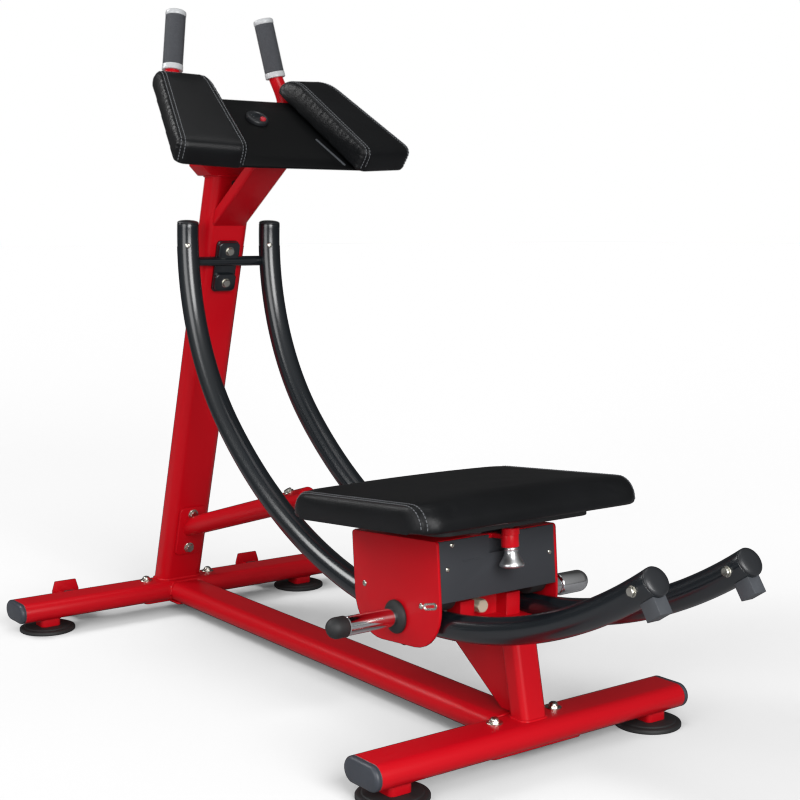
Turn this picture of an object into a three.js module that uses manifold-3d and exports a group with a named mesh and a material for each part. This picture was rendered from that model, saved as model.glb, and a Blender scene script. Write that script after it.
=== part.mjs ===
// Abdominal crunch machine with a rolling kneeling carriage, in millimetres, +Z up.
// +X runs from the mast towards the user, -Y is the user's left when facing the mast.
// Everything is laid out from the middle of the rear crossbar, and the finished group is then
// moved so that its origin is at the middle of the bounding box's underside.
import * as THREE from "three";
import { mergeVertices } from "three/addons/utils/BufferGeometryUtils.js";
import Module from "manifold-3d";

const wasm = await Module();
wasm.setup();

// ---------- Driving dimensions ----------
const GAP = 0.3; // clearance between pieces that touch
const SIDES = { left: -1, right: 1 };

// Base: flat-oval crossbars and main beam on four feet
const BASE_LENGTH = 1218; // rear crossbar axis to front crossbar axis
const REAR_WIDTH = 781;
const FRONT_WIDTH = 662;
const BAR_WIDTH = 90;
const BAR_HEIGHT = 42;
const BAR_Z = 49;
const CAP_LENGTH = 12;
const CAP_ROUNDING = 6;
const BEAM_Z = 46;
const FOOT_RADIUS = 59;
const FOOT_HEIGHT = 11;
const REAR_FOOT_Y = 327;
const FRONT_FOOT_Y = 281.5;
const LEG_WIDTH = 44;
const LEG_CORNER = 10;
const LEG_FORWARD = 6; // how far the legs stand in front of the crossbar's axis
const BEAM_PLATE = { reach: 26, halfWidth: 98, thickness: 4, tongue: 70, tongueHalfWidth: 40 };

// Mast, its brace and the strut that ties the rails to it
const MAST_LEAN = 16.25; // degrees forward
const MAST_FOOT_X = -10;
const MAST_SECTION = { depth: 54, width: 102, corner: 20 };
const MAST_TOP_Z = 985;
const BRACE = { x: 257.5, z: 897.6, slope: 34, depth: 25, width: 80, corner: 5 };
const STRUT = { x: 60, z: 198.5, endX: 550, slope: 16, radius: 21 };
const STRUT_FLANGE = { height: 116, width: 64, thickness: 8 };

// Front post under the rails
const POST_TOP = { x: 1191, z: 203 };
const POST_BACKWARD_LEAN = 11.8; // degrees
const POST_SECTION = { depth: 42, width: 52, corner: 12 };
const GUSSET_THICKNESS = 10;

// Curved rails: a long arc that the carriage rolls on, then a tighter one up to the top
const RAIL = { x: 1056, z: 1148, radius: 929, tube: 22.5, y: 99 };
const RAIL_TOP_RADIUS = 513;
const RAIL_CHANGE = 44; // degrees from straight down, towards the mast
const RAIL_TOP_ANGLE = 94;
const RAIL_FRONT_ANGLE = -35;
const ARC_SHARE = 0.72; // share of the rail's length that the long arc takes
const RAIL_CAP_THICKNESS = 6;
const TOP_BRACKET = {
  z: 804,
  rodZ: 806,
  rodRadius: 10,
  plate: { thickness: 7, width: 58, height: 112 },
  lug: { depth: 24, width: 54, height: 38 },
  lugOffset: 36,
};
const TIE = { angle: 32, drop: 29, radius: 12, halfLength: 86 }; // drop below the rails' centre line
const STOP = { angle: -33.9, length: 30, width: 24, height: 24 };
const SADDLE = {
  plate: { x: [985, 1212], halfWidth: 84, thickness: 12 },
  lug: { x: [1084, 1120], y: [36, 66], top: 254 },
  web: 8,
};

// Head: tilted plate with two forearm pads, handles and a counter
const HEAD = { x: 421, z: 1067, tilt: 35 };
const HEAD_PLATE = { length: 250, width: 390, thickness: 5, corner: 12 };
const PAD_WEDGE = { length: 170, width: 70 };
// A forearm pad is wider at its front end by the taper, and narrower at its rear end.
const ARM_PAD = { length: 270, width: 113, thickness: 43, corner: 16, taper: 0.17 };
const ARM_PAD_PLACE = { x: 433, y: 170, z: 1094.5, toe: 13.5, roll: 3.8 };
const HEAD_MOUNT = { x: 257, depth: 58, halfWidth: 80, foot: 60, z: 985, chamferZ: 1005, top: 1098 };
const HEAD_FLANGE = { x: [-118, 96], halfWidth: 70, thickness: 8 };
const HANDLE = { radius: 15, x: 258, rootY: 70, y: 137, z: 1074, bendZ: 1122 };
const GRIP_FOOT = { x: 246, y: 124, z: 1198 };
const GRIP_TOP = { x: 229, y: 104, z: 1320 };
const GRIP_RADIUS = 20.5;
const COUNTER = { x: -47, y: -7, radius: 24, height: 9 };
const BUTTON = { x: 12, y: 6, radius: 6, height: 4, pocket: 3, play: 2.5 };

// Carriage, laid out from the middle of its side plates' top edge
const CARRIAGE = { x: 1017, z: 358.5, tilt: 4.5 };
const SIDE_PLATE = { length: 242, height: 184, thickness: 5, y: 131, corner: 74, topCorner: 6 };
const COVER = { thickness: 4, top: -1, bottom: -103, notch: 40, notchDepth: 32 };
const DECK_THICKNESS = 8;
const TONGUE = { pinReach: 30, width: 20, housing: 21, housingRadius: 15 };
const UPPER_ROLLER = { radius: 25, angles: [7.0, -3.4] };
const LOWER_ROLLER = { radius: 14, angles: [1.6] };
const ROLLER_Y = { inner: 84, outer: 118 };
const LOWER_ROLLER_Y = { inner: 90, outer: 120 };
const PIN_RADIUS = 6;
const PIN_CLEARANCE = 0.4;
const POST = { x: 1, z: -138, radius: 16, endY: 236, collarRadius: 29, collar: 11 };
const POST_CAPS = { left: { radius: 18, length: 37 }, right: { radius: 20, length: 72 } };
const SEAT = { x: 34, length: 392, width: 478, thickness: 44, corner: 22 };
const SEAT_BOARD = { length: 290, width: 330, thickness: 15, corner: 26 };
const SWIVEL = { radius: 76, height: 16 };
const BELL = { topRadius: 11, mouthRadius: 21, height: 33, lip: 6, neck: 10, stem: 12 };

// Transport wheels behind the rear crossbar
const WHEEL = { radius: 22, width: 22, x: -72, y: 240, z: 37, pinRadius: 4 };
const WHEEL_FORK = { depth: 95, top: 77, shoulder: 56, low: 26, foot: 62, crown: 49, plate: 4 };

// ---------- Materials ----------
const finish = (color, roughness, metalness) =>
  new THREE.MeshStandardMaterial({ color, roughness, metalness });
const RED = finish(0xb5121b, 0.3, 0.2);
const BLACK_METAL = finish(0x14161a, 0.25, 0.3);
const DARK_PLASTIC = finish(0x2c3034, 0.45, 0);
const GREY_COVER = finish(0x45484d, 0.5, 0.2);
const RUBBER = finish(0x0e0f10, 0.8, 0);
const LEATHER = finish(0x17191c, 0.5, 0);
const FOAM_GRIP = finish(0x3a3d42, 0.9, 0);
const CHROME = finish(0xd8dadd, 0.12, 1);
const RED_PLASTIC = finish(0xd01f2a, 0.4, 0);

// ---------- Geometry helpers ----------
const radians = THREE.MathUtils.degToRad;

// Points of a rectangle with its own radius at the foot and at the top, centred on the origin.
function roundedOutline(width, height, footRadius, topRadius = footRadius, steps = 5) {
  const corners = [
    { x: 1, y: 1, start: 0, radius: topRadius },
    { x: -1, y: 1, start: 90, radius: topRadius },
    { x: -1, y: -1, start: 180, radius: footRadius },
    { x: 1, y: -1, start: 270, radius: footRadius },
  ];
  const points = [];
  for (const { x, y, start, radius } of corners) {
    for (let i = 0; i <= steps; i++) {
      const angle = radians(start + (90 * i) / steps);
      const point = new THREE.Vector2(
        x * (width / 2 - radius) + radius * Math.cos(angle),
        y * (height / 2 - radius) + radius * Math.sin(angle),
      );
      if (!points.some((other) => other.distanceTo(point) < 0.01)) points.push(point);
    }
  }
  return new THREE.Shape(points);
}

const polygon = (pairs) => new THREE.Shape(pairs.map(([x, y]) => new THREE.Vector2(x, y)));

// A shape drawn in X and Y, standing on the plane z = 0.
function upright(shape, depth) {
  return new THREE.ExtrudeGeometry(shape, { depth, bevelEnabled: false });
}

// A shape drawn in X and Z, filling from one Y to another.
function acrossY(shape, from, to) {
  return upright(shape, to - from).rotateX(Math.PI / 2).translate(0, to, 0);
}

// A shape drawn in Y and Z, filling from one X to another.
function alongX(shape, from, to) {
  const turn = new THREE.Matrix4().makeBasis(
    new THREE.Vector3(0, 1, 0),
    new THREE.Vector3(0, 0, 1),
    new THREE.Vector3(1, 0, 0),
  );
  return upright(shape, to - from).applyMatrix4(turn).translate(from, 0, 0);
}

// A bar whose section is drawn in (X, Y) and which leans forward by an angle from upright.
function leaningBar(shape, x, z, lean, from, to) {
  return upright(shape, to - from).translate(0, 0, from).rotateY(radians(lean)).translate(x, 0, z);
}

function cylinderAlong(axis, radius, from, to, segments = 20) {
  const geometry = new THREE.CylinderGeometry(radius, radius, to - from, segments);
  const middle = (from + to) / 2;
  if (axis === "x") return geometry.rotateZ(Math.PI / 2).translate(middle, 0, 0);
  if (axis === "z") return geometry.rotateX(Math.PI / 2).translate(0, 0, middle);
  return geometry.translate(0, middle, 0);
}

function block(x, y, z) {
  const size = [x, y, z].map(([low, high]) => high - low);
  return new THREE.BoxGeometry(...size).translate(
    (x[0] + x[1]) / 2,
    (y[0] + y[1]) / 2,
    (z[0] + z[1]) / 2,
  );
}

// A ring about the Z axis: a closed profile of [radius, height] pairs.
function turned(pairs, segments = 24) {
  const points = pairs.map(([radius, height]) => new THREE.Vector2(radius, height));
  return new THREE.LatheGeometry(points, segments).rotateX(Math.PI / 2);
}

function tube(curve, radius, steps, segments) {
  const circle = new THREE.Shape(
    Array.from({ length: segments }, (_, i) => {
      const angle = (2 * Math.PI * i) / segments;
      return new THREE.Vector2(radius * Math.cos(angle), radius * Math.sin(angle));
    }),
  );
  return new THREE.ExtrudeGeometry(circle, { steps, bevelEnabled: false, extrudePath: curve });
}

// ---------- Booleans ----------
function solid(geometry) {
  const bare = geometry.clone();
  bare.deleteAttribute("normal");
  bare.deleteAttribute("uv");
  const merged = mergeVertices(bare, 1e-3);
  const triVerts = new Uint32Array(merged.index.array);
  const vertProperties = merged.attributes.position.array;
  return new wasm.Manifold(new wasm.Mesh({ numProp: 3, vertProperties, triVerts }));
}

function geometryOf(made) {
  const mesh = made.getMesh();
  return new THREE.BufferGeometry()
    .setAttribute("position", new THREE.BufferAttribute(mesh.vertProperties, 3))
    .setIndex(new THREE.BufferAttribute(mesh.triVerts, 1))
    .toNonIndexed();
}

const join = (first, ...rest) =>
  geometryOf(rest.reduce((sum, piece) => sum.add(solid(piece)), solid(first)));
const cut = (first, ...rest) =>
  geometryOf(rest.reduce((left, piece) => left.subtract(solid(piece)), solid(first)));

// What is left of a piece once the offcuts of a boolean are thrown away.
function largestBody(geometry) {
  const bodies = solid(geometry).decompose();
  return geometryOf(bodies.sort((a, b) => b.volume() - a.volume())[0]);
}

// ---------- Scene graph ----------
const group = new THREE.Group();
const head = new THREE.Group();
const carriage = new THREE.Group();
head.position.set(HEAD.x, 0, HEAD.z);
head.rotation.y = radians(HEAD.tilt);
carriage.position.set(CARRIAGE.x, 0, CARRIAGE.z);
carriage.rotation.y = -radians(CARRIAGE.tilt);
group.add(head, carriage);
for (const nested of [head, carriage]) nested.updateMatrix();

function add(parent, name, geometry, material, place = [0, 0, 0], turn = [0, 0, 0]) {
  geometry.computeVertexNormals();
  const mesh = new THREE.Mesh(geometry, material);
  mesh.name = name;
  mesh.position.set(...place);
  mesh.rotation.set(...turn);
  parent.add(mesh);
  return mesh;
}

// ---------- Base ----------
const barShape = (grow = 0) =>
  roundedOutline(BAR_WIDTH + 2 * grow, BAR_HEIGHT + 2 * grow, BAR_HEIGHT / 2 + grow);

const crossbarTube = (x, width, grow = 0) =>
  acrossY(barShape(grow), -width / 2, width / 2).translate(x, 0, BAR_Z);

function addCrossbar(name, x, width, footY) {
  const legs = Object.values(SIDES).map((side) =>
    upright(roundedOutline(LEG_WIDTH, LEG_WIDTH, LEG_CORNER), BAR_Z - FOOT_HEIGHT - GAP)
      .translate(x + LEG_FORWARD, side * footY, FOOT_HEIGHT + GAP),
  );
  add(group, `${name}_crossbar`, join(crossbarTube(x, width), ...legs), RED);
  for (const [sideName, side] of Object.entries(SIDES)) {
    add(group, `${name}_cap_${sideName}`, crossbarCap(), DARK_PLASTIC,
      [x, side * (width / 2 + GAP), BAR_Z], [(side * -Math.PI) / 2, 0, 0]);
    add(group, `${name}_foot_${sideName}`, footDisc(), RUBBER,
      [x + LEG_FORWARD / 2, side * footY, 0]);
  }
}

// A plug over the crossbar's open end, with its rounded face towards +Z.
function crossbarCap() {
  const rounded = new THREE.ExtrudeGeometry(barShape(-CAP_ROUNDING), {
    depth: CAP_LENGTH - CAP_ROUNDING,
    bevelEnabled: true,
    bevelThickness: CAP_ROUNDING,
    bevelSize: CAP_ROUNDING,
    bevelSegments: 4,
  });
  return cut(rounded, block([-80, 80], [-80, 80], [-60, 0]));
}

function footDisc() {
  return turned([
    [0, 0],
    [FOOT_RADIUS, 0],
    [FOOT_RADIUS, FOOT_HEIGHT - 3],
    [FOOT_RADIUS - 4, FOOT_HEIGHT],
    [0, FOOT_HEIGHT],
  ], 28);
}

// The main beam, with a bolted plate under each crossbar.
function addMainBeam() {
  const start = BAR_WIDTH / 2 - BAR_HEIGHT / 2;
  const { reach, halfWidth, thickness, tongue, tongueHalfWidth } = BEAM_PLATE;
  const top = BAR_Z - BAR_HEIGHT / 2 - GAP;
  const height = [top - thickness, top];
  const plates = [[0, 1], [BASE_LENGTH, -1]].flatMap(([x, direction]) => {
    const between = [x, x + direction * tongue].sort((a, b) => a - b);
    return [
      block([x - reach, x + reach], [-halfWidth, halfWidth], height),
      block(between, [-tongueHalfWidth, tongueHalfWidth], height),
    ];
  });
  const beam = alongX(barShape(), start, BASE_LENGTH - start).translate(0, 0, BEAM_Z);
  const made = cut(join(beam, ...plates), crossbarTube(0, REAR_WIDTH, GAP),
    crossbarTube(BASE_LENGTH, FRONT_WIDTH, GAP));
  add(group, "main_beam", made, RED);
}

// ---------- Mast, brace, strut and front post ----------
const mastBar = (grow = 0) =>
  leaningBar(
    roundedOutline(MAST_SECTION.depth + 2 * grow, MAST_SECTION.width + 2 * grow,
      MAST_SECTION.corner + grow),
    MAST_FOOT_X, BAR_Z + BAR_HEIGHT / 2, MAST_LEAN, -60, 1100,
  );

function addMast() {
  const above = block([-300, 900], [-200, 200], [MAST_TOP_Z - GAP, 1400]);
  const below = block([-300, 300], [-200, 200], [-200, BAR_Z]);
  add(group, "mast", cut(mastBar(), above, below, crossbarTube(0, REAR_WIDTH, GAP)), RED);
}

// Everything above the underside of the head plate, less a gap.
function aboveHeadPlate() {
  const reach = 600;
  return block([-reach, reach], [-reach, reach], [-HEAD_PLATE.thickness - GAP, reach])
    .applyMatrix4(head.matrix);
}

function mountOutline(grow = 0) {
  const { halfWidth, foot, z, chamferZ, top } = HEAD_MOUNT;
  return polygon([
    [-foot - grow, z - grow],
    [foot + grow, z - grow],
    [halfWidth + grow, chamferZ],
    [halfWidth + grow, top],
    [-halfWidth - grow, top],
    [-halfWidth - grow, chamferZ],
  ]);
}

const mountBlock = (grow = 0) =>
  alongX(mountOutline(grow), HEAD_MOUNT.x - HEAD_MOUNT.depth / 2 - grow,
    HEAD_MOUNT.x + HEAD_MOUNT.depth / 2 + grow);

// A welded saddle that carries the head plate: a cross channel with a tilted flange on top.
function addHeadMount() {
  add(group, "head_mount", cut(join(mountBlock(), headFlange(), headRib()), aboveHeadPlate()), RED);
}

// The tilted flange under the head plate, or the space that it needs.
function headFlange(grow = 0, above = 0) {
  const { x, halfWidth, thickness } = HEAD_FLANGE;
  return block([x[0] - grow, x[1] + grow], [-halfWidth - grow, halfWidth + grow],
    [-HEAD_PLATE.thickness - GAP - thickness - grow, above]).applyMatrix4(head.matrix);
}

// The upright rib between the cross channel and the tilted flange.
function headRib() {
  const { x, depth } = HEAD_MOUNT;
  const front = x + depth / 2;
  return acrossY(polygon([
    [x - depth / 2, 1060],
    [front, 1036],
    [front + 46, 1062],
    [front + 46, 1120],
    [x, 1120],
  ]), -40, 40);
}

function addBrace() {
  const lean = 90 - BRACE.slope;
  const bar = leaningBar(roundedOutline(BRACE.depth, BRACE.width, BRACE.corner),
    BRACE.x, BRACE.z, lean, -70, 340);
  const ribSpace = block([200, 360], [-60, 60], [1039, 1300]);
  const made = cut(bar, mastBar(GAP), aboveHeadPlate(), headFlange(GAP, 300), mountBlock(GAP), ribSpace);
  add(group, "head_brace", largestBody(made), RED);
}

function addStrut() {
  const lean = 90 - STRUT.slope;
  const reach = (STRUT.endX - STRUT.x) / Math.cos(radians(STRUT.slope));
  const bar = cylinderAlong("z", STRUT.radius, -40, reach, 20)
    .rotateY(radians(lean)).translate(STRUT.x, 0, STRUT.z);
  const flangeX = MAST_SECTION.depth / 2 + GAP;
  const up = (STRUT.z - BAR_Z - BAR_HEIGHT / 2) / Math.cos(radians(MAST_LEAN));
  const flange = upright(
    roundedOutline(STRUT_FLANGE.thickness, STRUT_FLANGE.width, 0.5),
    STRUT_FLANGE.height,
  ).translate(flangeX + STRUT_FLANGE.thickness / 2, 0, up - STRUT_FLANGE.height / 2)
    .rotateY(radians(MAST_LEAN)).translate(MAST_FOOT_X, 0, BAR_Z + BAR_HEIGHT / 2);
  const made = cut(join(bar, flange), mastBar(GAP * 0.9), crossTie(GAP));
  add(group, "rail_strut", largestBody(made), RED);
}

// The round tie under the rails that the strut is welded to.
function crossTie(grow = 0) {
  const { x, z } = railPoint(TIE.angle, TIE.drop);
  return cylinderAlong("y", TIE.radius + grow, -TIE.halfLength, TIE.halfLength, 18)
    .translate(x, 0, z);
}

function addCrossTie() {
  add(group, "rail_tie", cut(crossTie(), railTube(-1, GAP), railTube(1, GAP)), RED);
}

function addFrontPost() {
  const { x, z } = POST_TOP;
  const bar = leaningBar(
    roundedOutline(POST_SECTION.depth, POST_SECTION.width, POST_SECTION.corner),
    x, z, -POST_BACKWARD_LEAN, -190, 30,
  );
  const gusset = acrossY(polygon([
    [1203, BAR_Z],
    [1184, BAR_Z],
    [966, z],
    [1185, z],
  ]), -GUSSET_THICKNESS / 2, GUSSET_THICKNESS / 2);
  const above = block([900, 1400], [-100, 100], [z - GAP, 400]);
  const made = cut(join(bar, gusset), above, crossbarTube(BASE_LENGTH, FRONT_WIDTH, GAP),
    mainBeamSpace());
  add(group, "front_post", largestBody(made), RED);
}

const mainBeamSpace = () => alongX(barShape(GAP), 0, BASE_LENGTH).translate(0, 0, BEAM_Z);

// The plate between the rails' inner sides that sits on the front post, with two lugs and a web.
function addRailSaddle() {
  const { plate, lug, web } = SADDLE;
  const sheet = block(plate.x, [-plate.halfWidth, plate.halfWidth],
    [POST_TOP.z, POST_TOP.z + plate.thickness]);
  const height = [POST_TOP.z, lug.top];
  const lugs = [lug.y, [-lug.y[1], -lug.y[0]]].map((span) => block(lug.x, span, height));
  const between = block([lug.x[0], lug.x[0] + web], [-lug.y[1], lug.y[1]], height);
  const made = cut(join(sheet, ...lugs, between), railTube(-1, GAP), railTube(1, GAP));
  add(group, "rail_saddle", made, RED);
}

// ---------- Rails ----------
// A point of the rail's centre line at an angle from straight down, towards the mast, or a point
// outside it by some distance.
function railPoint(degrees, outside = 0) {
  const onLongArc = degrees < RAIL_CHANGE;
  const change = radians(RAIL_CHANGE);
  const radius = (onLongArc ? RAIL.radius : RAIL_TOP_RADIUS) + outside;
  const offset = onLongArc ? 0 : RAIL.radius - RAIL_TOP_RADIUS;
  const centreX = RAIL.x - offset * Math.sin(change);
  const centreZ = RAIL.z - offset * Math.cos(change);
  const angle = radians(degrees);
  return { x: centreX - radius * Math.sin(angle), z: centreZ - radius * Math.cos(angle) };
}

class RailCurve extends THREE.Curve {
  constructor(y) {
    super();
    this.y = y;
  }
  getPoint(t) {
    const degrees = t < ARC_SHARE
      ? THREE.MathUtils.mapLinear(t, 0, ARC_SHARE, RAIL_FRONT_ANGLE, RAIL_CHANGE)
      : THREE.MathUtils.mapLinear(t, ARC_SHARE, 1, RAIL_CHANGE, RAIL_TOP_ANGLE);
    const { x, z } = railPoint(degrees);
    return new THREE.Vector3(x, this.y, z);
  }
}

const railTube = (side, grow = 0) => tube(new RailCurve(side * RAIL.y), RAIL.tube + grow, 44, 18);

function addRails() {
  for (const [name, side] of Object.entries(SIDES)) {
    add(group, `rail_${name}`, railTube(side), BLACK_METAL);
    const top = railPoint(RAIL_TOP_ANGLE);
    add(group, `rail_top_cap_${name}`, railPlug(), DARK_PLASTIC, [top.x, side * RAIL.y, top.z],
      [0, radians(RAIL_TOP_ANGLE) + Math.PI, 0]);
    const front = railPoint(RAIL_FRONT_ANGLE);
    add(group, `rail_front_cap_${name}`, railPlug(), DARK_PLASTIC,
      [front.x, side * RAIL.y, front.z], [0, radians(RAIL_FRONT_ANGLE), 0]);
    add(group, `end_stop_${name}`, cut(endStop(side), railTube(side, GAP)), DARK_PLASTIC);
  }
}

// The block under a rail's front end that stops the lower roller.
function endStop(side) {
  const { angle, length, width, height } = STOP;
  const { x, z } = railPoint(angle, RAIL.tube);
  return block([-length / 2, length / 2], [-width / 2, width / 2], [-height, RAIL.tube / 2])
    .rotateY(radians(angle)).translate(x, side * RAIL.y, z);
}

// A shallow plug over a rail's open end.
const railPlug = () =>
  cylinderAlong("x", RAIL.tube - 1, GAP, GAP + RAIL_CAP_THICKNESS, 18);

// The black bracket on the mast's front that holds the rails' upper ends.
function addTopBracket() {
  const { z, rodZ, rodRadius, plate, lug, lugOffset } = TOP_BRACKET;
  const mastFront = (height) =>
    MAST_FOOT_X + (height - BAR_Z - BAR_HEIGHT / 2) * Math.tan(radians(MAST_LEAN))
    + MAST_SECTION.depth / 2 / Math.cos(radians(MAST_LEAN));
  const onMast = (shape, height, offset) =>
    upright(shape, height).translate(0, 0, offset - height / 2)
      .rotateY(radians(MAST_LEAN)).translate(mastFront(z) + plate.thickness / 2 + GAP, 0, z);
  const rod = cylinderAlong("y", rodRadius, -RAIL.y, RAIL.y, 16)
    .translate(mastFront(rodZ) + rodRadius + 2, 0, rodZ);
  const pieces = [
    onMast(roundedOutline(plate.thickness, plate.width, 3), plate.height, 0),
    ...[-lugOffset, lugOffset].map((offset) =>
      onMast(roundedOutline(lug.depth, lug.width, 5), lug.height, offset)),
  ];
  const made = cut(join(rod, ...pieces), mastBar(GAP), railTube(-1, GAP), railTube(1, GAP));
  add(group, "rail_top_bracket", largestBody(made), BLACK_METAL);
}

// ---------- Head ----------
// The turn of a forearm pad: toed out, tilted with the plate, and raised at its outer edge.
function armPadTurn(side) {
  const toe = new THREE.Matrix4().makeRotationZ(side * radians(ARM_PAD_PLACE.toe));
  const tilt = new THREE.Matrix4().makeRotationY(radians(HEAD.tilt));
  const roll = new THREE.Matrix4().makeRotationX(side * radians(ARM_PAD_PLACE.roll));
  const { x, y, z } = ARM_PAD_PLACE;
  return toe.multiply(tilt).multiply(roll).setPosition(x, side * y, z);
}

// A shape given in a forearm pad's frame, moved to the head plate's frame.
function underArmPad(geometry, side) {
  const toHead = head.matrix.clone().invert().multiply(armPadTurn(side));
  return geometry.applyMatrix4(toHead);
}

function addHead() {
  const { length, width, thickness, corner } = HEAD_PLATE;
  const sheet = upright(roundedOutline(length, width, corner, corner, 3), thickness)
    .translate(0, 0, -thickness);
  const under = -ARM_PAD.thickness / 2 - GAP;
  const wedges = Object.values(SIDES).map((side) => {
    const { length: long, width: wide } = PAD_WEDGE;
    const filler = block([-long / 2, long / 2], [-wide / 2, wide / 2], [under - 60, under]);
    return cut(underArmPad(filler, side), block([-300, 300], [-400, 400], [-200, -thickness / 2]));
  });
  add(head, "head_plate", join(sheet, ...wedges), BLACK_METAL);
  for (const [name, side] of Object.entries(SIDES)) {
    const pad = tapered(cushion(ARM_PAD), ARM_PAD).translate(0, 0, -ARM_PAD.thickness / 2);
    add(group, `arm_pad_${name}`, pad.applyMatrix4(armPadTurn(side)), LEATHER);
  }
  const { radius, height } = COUNTER;
  const bodyShape = turned([
    [0, 0],
    [radius, 0],
    [radius, height - 3],
    [radius - 4, height],
    [0, height],
  ]);
  const hole = cylinderAlong("z", BUTTON.radius + 0.5, BUTTON.pocket, height + 5, 16)
    .translate(BUTTON.x, BUTTON.y, 0);
  add(head, "counter_body", cut(bodyShape, hole), DARK_PLASTIC, [COUNTER.x, COUNTER.y, GAP]);
  const button = cylinderAlong("z", BUTTON.radius, BUTTON.pocket + BUTTON.play + GAP,
    height + BUTTON.height, 16);
  add(head, "counter_button", button, RED_PLASTIC,
    [COUNTER.x + BUTTON.x, COUNTER.y + BUTTON.y, GAP]);
}

// A plain stand-in for a padded cushion, resting on z = 0.
function cushion({ length, width, thickness, corner }) {
  const bevel = Math.min(10, thickness / 4);
  const outline = roundedOutline(length - 2 * bevel, width - 2 * bevel, corner - bevel);
  return new THREE.ExtrudeGeometry(outline, {
    depth: thickness - 2 * bevel,
    bevelEnabled: true,
    bevelThickness: bevel,
    bevelSize: bevel,
    bevelSegments: 2,
  }).translate(0, 0, bevel);
}

// A cushion made wider towards its front end and narrower towards its rear end.
function tapered(geometry, { length, taper }) {
  const position = geometry.getAttribute("position");
  for (let i = 0; i < position.count; i++)
    position.setY(i, position.getY(i) * (1 + (taper * position.getX(i)) / (length / 2)));
  return geometry;
}

// The bent red tube that rises from the head mount to a grip, and the grip on its end.
function addHandles() {
  for (const [name, side] of Object.entries(SIDES)) {
    const foot = new THREE.Vector3(GRIP_FOOT.x, side * GRIP_FOOT.y, GRIP_FOOT.z);
    const top = new THREE.Vector3(GRIP_TOP.x, side * GRIP_TOP.y, GRIP_TOP.z);
    const inside = foot.clone().lerp(top, 0.94);
    const { x, y, z, rootY, bendZ } = HANDLE;
    const route = new THREE.CatmullRomCurve3([
      new THREE.Vector3(x, side * rootY, z),
      new THREE.Vector3(x, side * (y - 15), z + 6),
      new THREE.Vector3(x - 1, side * (y - 1), bendZ - 12),
      new THREE.Vector3(x - 5, side * (y + 2), bendZ + 30),
      foot,
      inside,
    ], false, "centripetal");
    add(group, `handle_${name}`, cut(tube(route, HANDLE.radius, 22, 14), mountBlock(GAP),
      aboveHeadPlate()), RED);
    const grip = turned(gripProfile(foot.distanceTo(top), foot.distanceTo(inside)), 20);
    const turn = new THREE.Quaternion().setFromUnitVectors(
      new THREE.Vector3(0, 0, 1), top.clone().sub(foot).normalize());
    grip.applyQuaternion(turn);
    add(group, `grip_${name}`, grip, FOAM_GRIP, foot.toArray());
  }
}

// A closed-ended sleeve: bored up to the tube's end.
function gripProfile(length, boreDepth) {
  const bore = HANDLE.radius + 0.6;
  return [
    [0, boreDepth + 1],
    [bore, boreDepth + 1],
    [bore, 0],
    [GRIP_RADIUS, 0],
    [GRIP_RADIUS, length - 4],
    [GRIP_RADIUS - 4, length],
    [0, length],
  ];
}

// ---------- Carriage ----------
// World X and Z of a roller's centre, turned into the carriage's own frame.
function rollerPlace(angle, distance) {
  const place = new THREE.Vector3(
    RAIL.x - distance * Math.sin(radians(angle)),
    0,
    RAIL.z - distance * Math.cos(radians(angle)),
  );
  return place.applyMatrix4(carriage.matrix.clone().invert());
}

const upperDistance = RAIL.radius - RAIL.tube - GAP - UPPER_ROLLER.radius;
const lowerDistance = RAIL.radius + RAIL.tube + GAP + LOWER_ROLLER.radius;
const rollers = [
  ...UPPER_ROLLER.angles.map((angle, i) => ({
    name: ["upper_rear", "upper_front"][i],
    radius: UPPER_ROLLER.radius,
    span: ROLLER_Y,
    place: rollerPlace(angle, upperDistance),
  })),
  ...LOWER_ROLLER.angles.map((angle) => ({
    name: "lower",
    radius: LOWER_ROLLER.radius,
    span: LOWER_ROLLER_Y,
    place: rollerPlace(angle, lowerDistance),
  })),
];

function addSidePlates() {
  const { length, height, thickness, y, corner, topCorner } = SIDE_PLATE;
  for (const [name, side] of Object.entries(SIDES)) {
    const span = (inner, outer) => (side > 0 ? [inner, outer] : [-outer, -inner]);
    const [from, to] = span(y - thickness, y);
    const plate = acrossY(roundedOutline(length, height, corner, topCorner, 8), from, to)
      .translate(0, 0, -height / 2);
    const pins = rollers.map(({ span: reach, place }) => {
      const [start, end] = span(reach.inner - 3, y - thickness / 2);
      return cylinderAlong("y", PIN_RADIUS, start, end, 14).translate(place.x, 0, place.z);
    });
    add(carriage, `side_plate_${name}`, join(plate, ...pins), RED);
  }
}

function addRollers() {
  for (const [name, side] of Object.entries(SIDES)) {
    for (const { name: rollerName, radius, span, place } of rollers) {
      const half = (span.outer - span.inner) / 2;
      const bore = PIN_RADIUS + PIN_CLEARANCE;
      const ring = turned([
        [bore, -half],
        [radius - 3, -half],
        [radius, -half + 3],
        [radius, half - 3],
        [radius - 3, half],
        [bore, half],
        [bore, -half],
      ], 18).rotateX(Math.PI / 2);
      add(carriage, `roller_${rollerName}_${name}`, ring, RUBBER,
        [place.x, (side * (span.inner + span.outer)) / 2, place.z]);
    }
  }
}

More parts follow.
